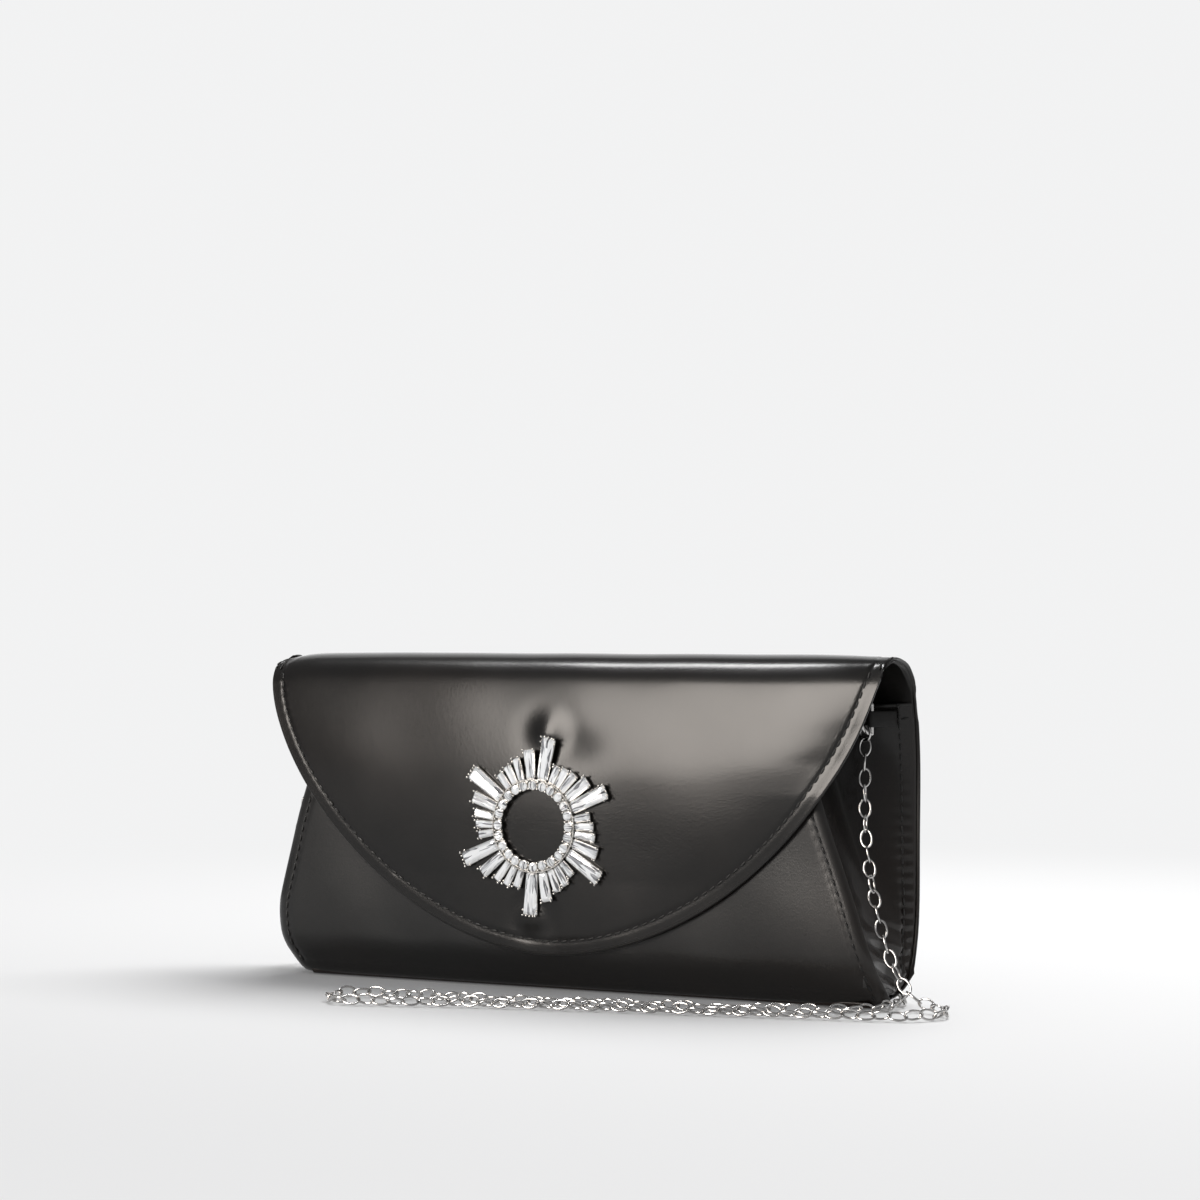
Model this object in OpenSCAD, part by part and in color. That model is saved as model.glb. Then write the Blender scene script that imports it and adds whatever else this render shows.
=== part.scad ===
/* [Bag] */
// Width of the bag along its top fold
body_w = 250; // [210:1:310]
// Height from the standing face to the top fold
body_h = 120; // [104:1:150]
// How far the flap's face stands in front of the top fold
front_depth = 16; // [14:0.5:22]
// How far the back bulges behind the top fold
back_depth = 24; // [20:0.5:32]
// How much narrower the front is at the height of the top fold, each side
front_taper = 40; // [30:1:50]
// Radius of the rounded lower corners
corner_r = 10; // [6:1:16]

/* [Materials] */
// Thickness of the faux leather
leather_t = 1.0; // [0.8:0.1:1.3]
// Thickness of the stiffening boards
board_t = 0.8; // [0.6:0.1:1.2]
// Thickness of the lining fabric
lining_t = 0.6; // [0.4:0.1:0.8]
// Height of the leather bands inside the mouth
facing_h = 16; // [10:1:22]

/* [Flap] */
// Height of the flap's lowest point above the standing face
flap_tip_z = 13.5; // [10:0.5:24]
// Gap between the closed flap and the front
flap_gap = 2.2; // [2.2:0.1:3.5]
// Gap left where a moving piece meets its neighbour
hinge_gap = 0.5; // [0.3:0.1:0.8]
// How far in from the edge the stitches run
stitch_inset = 5; // [3:0.5:8]
// Length of one stitch
stitch_l = 2.6; // [2:0.1:3.5]
// Pitch of the stitches
stitch_pitch = 4.2; // [3.8:0.1:6]

/* [Gussets] */
// How far the middle fold of a gusset lies inwards at the top
fold_in = 14; // [8:1:18]
// Width of the seam that holds a gusset to its panel
seam_w = 4; // [3:0.5:6]

/* [Snap] */
// Diameter of the snap's two caps
snap_d = 18; // [14:0.5:20]
// Height of the snap's centre above the standing face
snap_z = 30; // [28:0.5:34]
// Diameter of the stud's post
snap_post_d = 6; // [5:0.5:8]
// Clearance round the post
snap_clearance = 0.4; // [0.2:0.1:0.6]

/* [Brooch] */
// Sideways place of the brooch's centre
brooch_x = -5; // [-10:1:10]
// Height of the brooch's centre above the standing face
brooch_z = 59; // [56:1:66]
// Diameter of the circle that the round crystals sit on
stone_ring_d = 29; // [26:0.5:32]
// Number of round crystals
round_count = 24; // [20:1:26]
// Diameter of a round crystal
round_d = 3.2; // [2.6:0.1:3.4]
// Length of a long baguette
long_l = 15; // [12:0.5:17]
// Width of a long baguette at its outer end
long_w = 5; // [4:0.1:5.4]

/* [Rings] */
// Wire diameter of a strap ring
ring_wire = 1.6; // [1.2:0.1:2]
// Inside radius of a strap ring's bow
ring_r = 4.2; // [3.6:0.1:5]
// Height of the strap rings above the standing face
ring_z = 98; // [90:0.5:100]
// Outside diameter of the chain
chain_d = 4.8; // [4.4:0.1:5]

/* [Hidden] */

leather_colour = "#26241f";
lining_colour = "#4a4540";
board_colour = "#8a8378";
metal_colour = "#d4d4d2";
stone_colour = "#e8f0f4";

// The layers of each panel, outside to inside
flap_t = leather_t + board_t + lining_t;
panel_t = leather_t + board_t + lining_t;
front_face = front_depth - flap_t - flap_gap;

// Where the flap and the front turn
hinge_z = 0.84 * body_h;
mouth_z = hinge_z - 1;
stand_front = -7;
stand_back = 8;

// ---- Curves ----

// A point on the smooth curve through b and c, whose neighbours are a and d
function smooth_point(a, b, c, d, t) =
    0.5 * (2 * b + (c - a) * t + (2 * a - 5 * b + 4 * c - d) * t * t
           + (3 * b - a - 3 * c + d) * t * t * t);

// The smooth curve through a list of points, with n steps to each span
function smooth(p, n) = let (last = len(p) - 1) [
    for (i = [0 : last - 1]) for (k = [0 : n - 1])
        smooth_point(p[max(i - 1, 0)], p[i], p[i + 1], p[min(i + 2, last)], k / n),
    p[last]
];

// The direction of a path at its point i
function heading(p, i) = let (d = p[min(i + 1, len(p) - 1)] - p[max(i - 1, 0)]) d / norm(d);

// A path moved to the inside of the bag by d. Paths run up the front, over the top and down the back
function inset_path(p, d) = [for (i = [0 : len(p) - 1]) let (h = heading(p, i)) p[i] + d * [h[1], -h[0]]];

// The part of a path between two heights
function between(p, lo, hi) = [for (q = p) if (q[1] >= lo && q[1] <= hi) q];

function reversed(p) = [for (i = [len(p) - 1 : -1 : 0]) p[i]];

// How far forward or back a path stands at a height
function depth_at(p, z) = lookup(z, [for (q = p) [q[1], q[0]]]);

// ---- The bag's profile, front to the left, seen from its right end ----

flap_path = smooth([
    [-front_depth, flap_tip_z - 4],
    [-front_depth, 0.56 * body_h],
    [-0.95 * front_depth, 0.70 * body_h],
    [-0.82 * front_depth, 0.82 * body_h],
    [-0.62 * front_depth, 0.91 * body_h],
    [-0.33 * front_depth, 0.975 * body_h],
    [0, body_h],
    [0.25 * back_depth, 0.984 * body_h],
    [0.55 * back_depth, 0.955 * body_h],
    [0.78 * back_depth, 0.925 * body_h],
    [0.92 * back_depth, 0.885 * body_h],
    [0.98 * back_depth, hinge_z]
], 3);

back_path = smooth([
    [0.98 * back_depth, hinge_z - hinge_gap],
    [1.00 * back_depth, 0.72 * body_h],
    [1.00 * back_depth, 0.45 * body_h],
    [0.95 * back_depth, 0.29 * body_h],
    [0.79 * back_depth, 0.19 * body_h],
    [0.56 * back_depth, 0.10 * body_h],
    [0.40 * back_depth, 0.04 * body_h],
    [stand_back, 0]
], 3);

// The front follows the closed flap's inside, then curves in to the bottom fold
front_path = concat(
    smooth([
        [stand_front, 0.012 * body_h],
        [-0.76 * front_face, 0.045 * body_h],
        [-0.94 * front_face, 0.10 * body_h],
        [-front_face, 0.17 * body_h],
        [-front_face, 0.50 * body_h]
    ], 4),
    [for (q = between(inset_path(flap_path, flap_t + flap_gap), 0.52 * body_h, mouth_z)) if (q[0] < 0) q]
);

// ---- Outlines, seen from the front ----

// Half the flap's width at a height
function flap_half(z) = let (u = min(1, max(0, (z - flap_tip_z) / (body_h - flap_tip_z))))
    body_w / 2 * pow(1 - pow(1 - u, 1.52), 0.535);

// Half the front's width at a height, with rounded lower corners
front_inset = 3;
function front_half(z) = body_w / 2 - front_inset - front_taper * pow(z / body_h, 1.4) - corner_inset(z);

function corner_inset(z) = z >= corner_r ? 0 : corner_r - sqrt(corner_r * corner_r - pow(corner_r - z, 2));

flap_steps = 28;
flap_side = [for (i = [0 : flap_steps])
    let (z = flap_tip_z + (body_h - flap_tip_z) * (1 - cos(90 * i / flap_steps))) [flap_half(z), z]];

front_side = [for (z = [0, 1, 3, 6, corner_r, 18, 28, 38, 50, 62, 74, 86, 98, 110, body_h + 5])
    [front_half(min(z, body_h)), z]];

// The closed outline whose right side is given, from bottom to top
module outline(side) {
    polygon(concat(side, [for (q = reversed(side)) [-q[0], q[1]]]));
}

// Lays a profile, drawn as depth and height, along the width
module along_width(w) {
    rotate([90, 0, 90]) linear_extrude(w, center = true) children();
}

// Lets an outline, drawn as width and height, run through the depth
module through_depth() {
    rotate([90, 0, 0]) linear_extrude(4 * (front_depth + back_depth), center = true) children();
}

// One layer of a panel between two depths below the outer surface
module layer(path, from, to, w) {
    along_width(w) polygon(concat(inset_path(path, from), reversed(inset_path(path, to))));
}

// The flap's outline moved in by a margin. Near the tip the outline runs level, so the margin is taken
// upwards there, and sideways everywhere else
tip_rise_span = 25;
tip_turn_span = 12;
tip_turn_extra = 0.6;
module flap_outline(margin = 0) {
    intersection() {
        square([body_w - 2 * margin, 2 * body_h], center = true);
        outline([for (q = flap_side) let (far = q[1] - flap_tip_z)
            [max(0, q[0] - margin * (1 + tip_turn_extra * exp(-far / tip_turn_span))),
             q[1] + margin * exp(-far / tip_rise_span)]]);
    }
}

module back_outline(margin = 0) {
    half = body_w / 2 - margin;
    translate([0, margin]) outline(concat(
        [for (a = [0 : 15 : 90]) [half - corner_r + corner_r * sin(a), corner_r - corner_r * cos(a)]],
        [[half, body_h]]));
}

// ---- Shell ----

module back_panel() {
    color(leather_colour) intersection() {
        layer(back_path, 0, leather_t, body_w);
        through_depth() back_outline();
    }
}

module bottom_strip() {
    strip_half = body_w / 2 - corner_r;
    strip_front = stand_front + leather_t + hinge_gap / 2;
    strip_back = stand_back - panel_t - hinge_gap;
    color(leather_colour) translate([-strip_half, strip_front, 0])
        cube([2 * strip_half, strip_back - strip_front, leather_t + board_t]);
}

module back_board() {
    color(board_colour) intersection() {
        layer(back_path, leather_t, leather_t + board_t, body_w - 2 * seam_w);
        through_depth() translate([0, seam_w]) back_outline(seam_w);
    }
}

module back_lining() {
    color(lining_colour) intersection() {
        layer(back_path, leather_t + board_t, panel_t, body_w - 2 * seam_w);
        through_depth() translate([0, seam_w]) back_outline(seam_w);
    }
}

module back_facing() {
    face_path = between(back_path, hinge_z - facing_h, hinge_z);
    color(leather_colour) layer(face_path, panel_t, panel_t + leather_t, body_w - 4 * seam_w);
}

pocket_w = 130;
pocket_top = 0.62;
pocket_bottom = 0.36;
module slip_pocket() {
    pocket_path = between(back_path, pocket_bottom * body_h, pocket_top * body_h);
    color(lining_colour) layer(pocket_path, panel_t, panel_t + 2 * lining_t, pocket_w);
}

// ---- Front ----

module front_layer(from, to, margin) {
    intersection() {
        layer(front_path, from, to, body_w);
        through_depth() outline([for (q = front_side) [q[0] - margin, q[1] + margin]]);
    }
}

module front_panel() {
    color(leather_colour) difference() {
        front_layer(0, leather_t, 0);
        snap_hole(snap_post_d + 2 * snap_clearance + 2 * snap_collar_t + 2 * snap_seat);
    }
}

module front_board() {
    color(board_colour) difference() {
        front_layer(leather_t, leather_t + board_t, seam_w);
        snap_hole(snap_plate_w + 1);
    }
}

module front_lining() {
    color(lining_colour) front_layer(leather_t + board_t, panel_t, seam_w);
}

module front_facing() {
    face_path = between(front_path, mouth_z - facing_h, mouth_z);
    color(leather_colour) intersection() {
        layer(face_path, panel_t, panel_t + leather_t, body_w);
        through_depth() outline([for (q = front_side) [q[0] - 2 * seam_w, q[1]]]);
    }
}

// ---- Gussets: each is folded inwards along its middle, one leaf to each panel ----

gusset_bottom = 0.09 * body_h;
gusset_steps = 8;
gusset_clear = 0.25;
fold_back = 0.35;

// Where the leaves are held and where they fold, at a height
function leaf_front(z) = [front_half(z) - seam_w / 2, depth_at(front_path, z) + panel_t + leather_t];
function leaf_back(z) = [body_w / 2 - seam_w, depth_at(back_path, z) - panel_t - leather_t];
function leaf_fold(z) = let (f = leaf_front(z), b = leaf_back(z), k = z / body_h)
    [(f[0] + b[0]) / 2 - fold_in * k, (f[1] + b[1]) / 2 + fold_back * fold_in * k];

// A closed skin through rings of equal count, capped at both ends
module skin(rings) {
    n = len(rings[0]);
    last = len(rings) - 1;
    polyhedron(
        points = [for (r = rings) each r],
        faces = concat(
            [[for (k = [n - 1 : -1 : 0]) k]],
            [for (i = [0 : last - 1]) for (k = [0 : n - 1]) each [
                [i * n + k, i * n + (k + 1) % n, (i + 1) * n + (k + 1) % n],
                [i * n + k, (i + 1) * n + (k + 1) % n, (i + 1) * n + k]]],
            [[for (k = [0 : n - 1]) last * n + k]]
        )
    );
}

// The four corners of a leaf's cross section, from one edge to the other
function leaf_ring(from, to, z) = let (d = (to - from) / norm(to - from), side = [-d[1], d[0]] * leather_t / 2)
    [for (q = [from - side, to - side, to + side, from + side]) [q[0], q[1], z]];

module leaf(left, front) {
    top = front ? mouth_z - gusset_clear : hinge_z - 2 * hinge_gap;
    rings = [for (i = [0 : gusset_steps])
        let (z = gusset_bottom + (top - gusset_bottom) * i / gusset_steps,
             edge = front ? leaf_front(z) : leaf_back(z),
             fold = leaf_fold(z),
             d = (fold - edge) / norm(fold - edge))
        leaf_ring(edge + d * gusset_clear, fold - d * (leather_t + gusset_clear), z)];
    color(leather_colour) mirror([left ? 1 : 0, 0, 0]) skin(rings);
}

module gusset_back_left() { leaf(true, false); }
module gusset_back_right() { leaf(false, false); }
module gusset_front_left() { leaf(true, true); }
module gusset_front_right() { leaf(false, true); }

// ---- Strap rings, in tabs that are caught in the seam behind each gusset ----

tab_l = 13;
tab_h = 8;
tab_t = 3.2;
tab_turn = 25;
tab_clear = 1.4;
tab_y = depth_at(back_path, ring_z) - panel_t - 2 * leather_t - tab_clear;
tab_x = body_w / 2 - seam_w - tab_clear;
bar_y = tab_l - tab_t / 2;
bow_r = ring_r + ring_wire / 2;

// Puts a piece, drawn with the tab pointing along -Y from the origin, at one end of the bag
module at_ring(left) {
    mirror([left ? 1 : 0, 0, 0]) translate([tab_x, tab_y, ring_z]) rotate([0, 0, -tab_turn]) children();
}

module ring_tab(left) {
    eye_r = ring_wire / 2 + 0.05;
    color(leather_colour) at_ring(left) difference() {
        union() {
            translate([-tab_t / 2, -bar_y, -tab_h / 2]) cube([tab_t, bar_y - tab_t / 2, tab_h]);
            translate([0, -bar_y, 0]) cylinder(h = tab_h, d = tab_t, center = true, $fn = 32);
        }
        translate([0, -bar_y, 0]) cylinder(h = 2 * tab_h, r = eye_r, center = true, $fn = 32);
    }
}

// A bar along Z with a half-round bow towards -Y
module strap_ring(left) {
    color(metal_colour) at_ring(left) translate([0, -bar_y, 0]) {
        cylinder(h = 2 * bow_r, d = ring_wire, center = true, $fn = 32);
        for (s = [-1, 1]) translate([0, 0, s * bow_r]) sphere(d = ring_wire, $fn = 32);
        rotate([0, -90, 0]) rotate([0, 0, 180]) rotate_extrude(angle = 180, $fn = 48)
            translate([bow_r, 0]) circle(d = ring_wire, $fn = 24);
    }
}

module ring_tab_left() { ring_tab(true); }
module ring_tab_right() { ring_tab(false); }
module strap_ring_left() { strap_ring(true); }
module strap_ring_right() { strap_ring(false); }

// ---- Chain ----

// The chain's end rings hang in the lower part of the strap rings' bows
end_ring_wire = 1.0;
end_ring_r = 2.6;
ring_play = 0.4;
hang_turn = 36;
end_ring_y = -bar_y - bow_r * sin(hang_turn);
end_ring_drop = end_ring_r - end_ring_wire / 2 - ring_wire / 2 / cos(hang_turn) - ring_play;
end_ring_z = -bow_r * cos(hang_turn) - end_ring_drop;

// The chain's first link hangs just under the end ring, which gives where its route starts and ends
chain_drop = end_ring_r + end_ring_wire / 2 + ring_play / 2;
chain_end = [tab_x + end_ring_y * sin(tab_turn), tab_y + end_ring_y * cos(tab_turn), ring_z + end_ring_z - chain_drop];

// The route, from the right end ring down to the table, out and round, along the front to a turn and
// back, round the right end, along behind the bag and up to the left end ring
chain_route = [
    [113.5, 4.9, 90], [113.7, 4.3, 75], [115.4, 1.6, 58], [119.4, -1.8, 40], [124, -3.2, 24],
    [129.5, -4, 12], [135.5, -4.6, 5], [143, -6, 2.4], [149.6, -11, 2.4], [152, -20, 2.4],
    [147, -28.5, 2.4], [136, -33.5, 2.4], [112, -39.5, 2.4], [76, -48, 2.4], [36, -57, 2.4],
    [-2, -67, 2.4], [-30, -77, 2.4], [-43, -80.8, 2.4], [-51.3, -77.3, 2.4],
    [-54.8, -69, 2.4], [-51.3, -60.7, 2.4], [-43, -57.2, 2.4], [-28, -57.5, 2.4], [-2, -58, 2.4], [34, -49, 2.4], [72, -40.5, 2.4],
    [102, -33.5, 2.4], [119, -24, 2.4], [127, -9, 2.4], [126, 8, 2.4], [117, 24, 2.4],
    [98, 34, 2.4], [66, 17, 2.4], [34, 36, 2.4], [2, 17, 2.4], [-30, 36, 2.4], [-62, 17, 2.4],
    [-96, 36, 2.4], [-115, 36, 2.4], [-128.5, 27, 5], [-131, 15, 15], [-127, 9, 32],
    [-120, 5, 54], [-113.8, 4.8, 75], [-113.5, 4.9, 90]
];

// The route above is drawn for one pair of rings. It stretches sideways with them, and its hanging
// parts follow the rings in depth and height
drawn_end = chain_route[0];
route_low = min([for (p = chain_route) p[2]]);
function placed(p) = let (
    out = sign(p[0]) * min(1, abs(p[0]) / drawn_end[0]),
    up = (p[2] - route_low) / (drawn_end[2] - route_low),
    move = chain_end - drawn_end)
    [p[0] + out * move[0], p[1] + up * move[1], p[2] + up * move[2]];

// A direction across the tube, taken from one slanting line that the route never runs along
function tube_side(d) = let (s = cross(d, [1, 1, 1])) s / norm(s);

module tube(route, d, sides) {
    turn = 360 / sides;
    skin([for (i = [0 : len(route) - 1])
        let (h = heading(route, i), s = tube_side(h), u = cross(s, h))
        [for (k = [0 : sides - 1]) route[i] + d / 2 * (cos((k + 0.5) * turn) * s + sin((k + 0.5) * turn) * u)]]);
}

module shoulder_chain() {
    color(metal_colour) tube(smooth([for (p = chain_route) placed(p)], 2), chain_d, 8);
}

module chain_end_ring(left) {
    color(metal_colour) at_ring(left) translate([0, end_ring_y, end_ring_z])
        rotate([90, 0, 0]) rotate_extrude($fn = 32) translate([end_ring_r, 0]) circle(d = end_ring_wire, $fn = 16);
}

module chain_end_ring_left() { chain_end_ring(true); }
module chain_end_ring_right() { chain_end_ring(false); }

// ---- Flap ----

module flap_layer(from, to, margin) {
    intersection() {
        layer(flap_path, from, to, body_w);
        through_depth() flap_outline(margin);
    }
}

module flap_leather() {
    color(leather_colour) difference() {
        flap_layer(0, leather_t, 0);
        rivet_holes(rivet_d + rivet_clear);
    }
}

module flap_board() {
    color(board_colour) difference() {
        flap_layer(leather_t, leather_t + board_t, stitch_inset / 2);
        rivet_holes(washer_d + 3 * rivet_clear);
        snap_hole(snap_plate_w + 1);
    }
}

module flap_lining() {
    color(leather_colour) flap_layer(leather_t + board_t, flap_t, 0.5);
}

// Stitches stand a little proud of the leather, a row along the front part of the flap's edge
stitch_w = 0.5;
stitch_out = 0.15;
thread_side = [for (i = [1 : flap_steps]) let (q = flap_side[i]) if (q[1] < 0.56 * body_h) q];
module flap_thread() {
    edge = concat(reversed(thread_side), [for (q = thread_side) [-q[0], q[1]]]);
    run = path_length(edge);
    color(leather_colour) for (s = [stitch_pitch : stitch_pitch : run - stitch_pitch]) {
        q = point_along(edge, s);
        h = point_along(edge, s + 0.5) - q;
        inward = [-h[1], h[0]] / norm(h);
        at = q + stitch_inset * inward;
        translate([at[0], -front_depth, at[1]]) rotate([0, -atan2(h[1], h[0]), 0])
            translate([-stitch_l / 2, -stitch_out, -stitch_w / 2]) cube([stitch_l, stitch_out, stitch_w]);
    }
}

function path_length(p) = len(p) < 2 ? 0 :
    [for (i = [0 : len(p) - 2]) norm(p[i + 1] - p[i])] * [for (i = [0 : len(p) - 2]) 1];

// The point at a distance along a path
function point_along(p, s, i = 0) = let (step = norm(p[i + 1] - p[i]))
    s <= step || i >= len(p) - 2 ? p[i] + (p[i + 1] - p[i]) * s / step : point_along(p, s - step, i + 1);

// ---- Magnetic snap ----

snap_cap_t = 1.0;
snap_seat = 0.1;
snap_collar_t = 1.2;
snap_plate_w = 14;
snap_plate_t = 0.5;
flap_inside_y = -front_depth + flap_t;
front_outside_y = -front_face;

module snap_hole(d) {
    translate([0, 0, snap_z]) rotate([90, 0, 0]) cylinder(h = 4 * front_depth, d = d, center = true, $fn = 48);
}

// Puts a piece, drawn with its axis along Z, on the snap's axis with +Z towards the back
module at_snap(y) {
    translate([0, y, snap_z]) rotate([-90, 0, 0]) children();
}

module snap_stud() {
    color(metal_colour) at_snap(flap_inside_y) {
        cylinder(h = snap_cap_t, d = snap_d, $fn = 48);
        cylinder(h = flap_gap + 0.5 * leather_t, d = snap_post_d, $fn = 32);
    }
}

module snap_socket() {
    bore = snap_post_d + 2 * snap_clearance;
    color(metal_colour) at_snap(front_outside_y - snap_seat - snap_cap_t) difference() {
        union() {
            cylinder(h = snap_cap_t, d = snap_d, $fn = 48);
            cylinder(h = snap_cap_t + leather_t, d = bore + 2 * snap_collar_t, $fn = 48);
        }
        translate([0, 0, -1]) cylinder(h = snap_cap_t + leather_t + 2, d = bore, $fn = 32);
    }
}

module snap_socket_plate() {
    color(metal_colour) at_snap(front_outside_y + leather_t + snap_seat)
        cylinder(h = snap_plate_t, d = snap_plate_w, $fn = 40);
}

module snap_stud_plate() {
    color(metal_colour) at_snap(flap_inside_y - lining_t - snap_plate_t - snap_seat)
        cylinder(h = snap_plate_t, d = snap_plate_w, $fn = 40);
}

// ---- Brooch: six long baguettes, with a fan of growing ones between each two ----

brooch_seat = 0.15;
frame_t = 1.2;
frame_w = 4.4;
stone_t = 1.6;
arms = 6;
first_arm = 6;
ring_mean_r = stone_ring_d / 2;
baguette_r = ring_mean_r + round_d / 2 + 0.9;
medium_l = 0.64 * long_l;
short_l = 0.42 * long_l;
short_step = 0.8;
fan_turns = [15, 25.5, 36];
medium_turn = 47.5;
short_w = 2.3;
medium_w = 3.6;
seat_t = 0.8;
girdle = 0.6;
table_inset = 0.18;
stone_clear = 0.1;

// Puts a piece, drawn lying on XY with +Z away from the leather, at the brooch's centre
module at_brooch(lift = 0) {
    translate([brooch_x, -front_depth - brooch_seat - lift, brooch_z]) rotate([90, 0, 0]) children();
}

// Turned clockwise from the top, pointing outwards along +Y
module ray(turn) {
    rotate([0, 0, -turn]) children();
}

// The flat outline of a baguette that widens outwards
module baguette(l, w, margin = 0) {
    polygon([[-0.36 * w - margin, -margin], [0.36 * w + margin, -margin],
             [0.5 * w + margin, l + margin], [-0.5 * w - margin, l + margin]]);
}

module each_long() {
    for (a = [0 : arms - 1]) ray(first_arm + a * 360 / arms) translate([0, baguette_r]) children();
}

module each_medium() {
    for (a = [0 : arms - 1]) ray(first_arm + a * 360 / arms + medium_turn) translate([0, baguette_r]) children();
}

module each_short(k) {
    for (a = [0 : arms - 1]) ray(first_arm + a * 360 / arms + fan_turns[k]) translate([0, baguette_r]) children();
}

// A cut crystal: a slab with a smaller table on top, in steps
module cut(t) {
    linear_extrude(girdle * t) children(0);
    translate([0, 0, girdle * t]) linear_extrude((1 - girdle) * t) children(1);
}

module brooch_frame() {
    color(metal_colour) at_brooch() difference() {
        union() {
            cylinder(h = frame_t, r = ring_mean_r + frame_w / 2, $fn = 96);
            each_long() linear_extrude(seat_t) baguette(long_l, long_w);
            each_medium() linear_extrude(seat_t) baguette(medium_l, medium_w);
            for (k = [0 : len(fan_turns) - 1]) each_short(k)
                linear_extrude(seat_t) baguette(short_l + k * short_step, short_w);
        }
        translate([0, 0, -1]) cylinder(h = frame_t + 2, r = ring_mean_r - frame_w / 2, $fn = 96);
    }
}

round_t = 1.4;
round_table = 0.55;
module brooch_round_stones() {
    color(stone_colour) at_brooch(frame_t) for (k = [0 : round_count - 1])
        ray(k * 360 / round_count) translate([0, ring_mean_r]) {
            cylinder(h = round_t / 2, d = round_d, $fn = 16);
            translate([0, 0, round_t / 2]) cylinder(h = round_t / 2, d1 = round_d, d2 = round_table * round_d,
                $fn = 16);
        }
}

module brooch_long_stones() {
    color(stone_colour) at_brooch(seat_t) each_long() cut(stone_t) {
        baguette(long_l, long_w, -stone_clear);
        baguette(long_l, long_w, -table_inset * long_w);
    }
}

module brooch_medium_stones() {
    color(stone_colour) at_brooch(seat_t) each_medium() cut(stone_t) {
        baguette(medium_l, medium_w, -stone_clear);
        baguette(medium_l, medium_w, -table_inset * medium_w);
    }
}

module brooch_short_stones() {
    color(stone_colour) at_brooch(seat_t) for (k = [0 : len(fan_turns) - 1]) each_short(k) cut(0.9 * stone_t) {
        baguette(short_l + k * short_step, short_w, -stone_clear);
        baguette(short_l + k * short_step, short_w, -table_inset * short_w);
    }
}

// Prong tips stand at the outer corners of every baguette
prong_d = 0.9;
prong_in = 0.2;
module corner_prongs(l, w) {
    for (s = [-1, 1]) translate([s * (w / 2 - prong_in), l + prong_d / 2]) {
        cylinder(h = seat_t + stone_t - prong_d / 2, d = prong_d, $fn = 16);
        translate([0, 0, seat_t + stone_t - prong_d / 2]) sphere(d = prong_d, $fn = 16);
    }
}

module brooch_prongs() {
    color(metal_colour) at_brooch() {
        each_long() corner_prongs(long_l, long_w);
        each_medium() corner_prongs(medium_l, medium_w);
        for (k = [0 : len(fan_turns) - 1]) each_short(k) corner_prongs(short_l + k * short_step, short_w);
    }
}

// Two posts go from the frame through the flap's leather, each with a washer in a hole in the board
rivet_d = 2;
washer_d = 5;
washer_t = 0.3;
rivet_clear = 0.2;
rivet_reach = brooch_seat + leather_t + washer_t + rivet_clear / 2;
module each_rivet() {
    for (s = [-1, 1]) translate([s * ring_mean_r, 0]) children();
}

module rivet_holes(d) {
    at_brooch() each_rivet() translate([0, 0, -2 * flap_t]) cylinder(h = 2 * flap_t + 1, d = d, $fn = 32);
}

module brooch_rivets() {
    color(metal_colour) at_brooch() each_rivet() translate([0, 0, -rivet_reach])
        cylinder(h = rivet_reach, d = rivet_d, $fn = 32);
}

module brooch_washers() {
    washer_top = brooch_seat + leather_t;
    color(metal_colour) at_brooch() each_rivet() translate([0, 0, -washer_top - washer_t]) difference() {
        cylinder(h = washer_t, d = washer_d, $fn = 32);
        translate([0, 0, -1]) cylinder(h = washer_t + 2, d = rivet_d + rivet_clear, $fn = 32);
    }
}

back_panel();
bottom_strip();
back_board();
back_lining();
back_facing();
slip_pocket();
gusset_back_left();
gusset_back_right();
ring_tab_left();
ring_tab_right();
strap_ring_left();
strap_ring_right();
chain_end_ring_left();
chain_end_ring_right();
shoulder_chain();
front_panel();
front_board();
front_lining();
front_facing();
gusset_front_left();
gusset_front_right();
snap_socket();
snap_socket_plate();
flap_leather();
flap_board();
flap_lining();
flap_thread();
snap_stud();
snap_stud_plate();
brooch_frame();
brooch_round_stones();
brooch_long_stones();
brooch_medium_stones();
brooch_short_stones();
brooch_prongs();
brooch_rivets();
brooch_washers();
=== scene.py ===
import bpy
import math
import numpy as np
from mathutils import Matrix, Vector
from mathutils.bvhtree import BVHTree


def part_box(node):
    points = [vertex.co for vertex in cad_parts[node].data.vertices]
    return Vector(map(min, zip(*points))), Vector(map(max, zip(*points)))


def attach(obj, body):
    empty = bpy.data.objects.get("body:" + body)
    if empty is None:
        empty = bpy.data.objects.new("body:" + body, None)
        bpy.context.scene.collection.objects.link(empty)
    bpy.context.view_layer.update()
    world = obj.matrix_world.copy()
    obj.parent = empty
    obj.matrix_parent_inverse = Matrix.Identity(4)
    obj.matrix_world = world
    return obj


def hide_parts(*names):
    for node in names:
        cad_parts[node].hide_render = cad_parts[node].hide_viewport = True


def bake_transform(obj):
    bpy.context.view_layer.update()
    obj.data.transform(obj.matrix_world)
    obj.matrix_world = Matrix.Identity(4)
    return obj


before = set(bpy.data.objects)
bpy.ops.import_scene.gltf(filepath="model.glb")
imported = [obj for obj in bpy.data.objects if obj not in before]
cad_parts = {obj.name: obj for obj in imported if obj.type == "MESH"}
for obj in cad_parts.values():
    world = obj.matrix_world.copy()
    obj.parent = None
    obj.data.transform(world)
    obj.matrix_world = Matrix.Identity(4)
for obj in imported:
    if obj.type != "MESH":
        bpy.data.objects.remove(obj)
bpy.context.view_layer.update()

# ---- Camera: level, at table height, well to the right of the bag's front ----
CAMERA_TURN = math.radians(29)
camera = bpy.data.objects.new("camera", bpy.data.cameras.new("camera"))
camera.location = (0.55605, -0.98102, 0.130)
camera.rotation_euler = (math.radians(90), 0, CAMERA_TURN)
camera.data.lens = 94.17
camera.data.sensor_width = 36
camera.data.shift_y = 0.0217
bpy.context.scene.collection.objects.link(camera)
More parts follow.
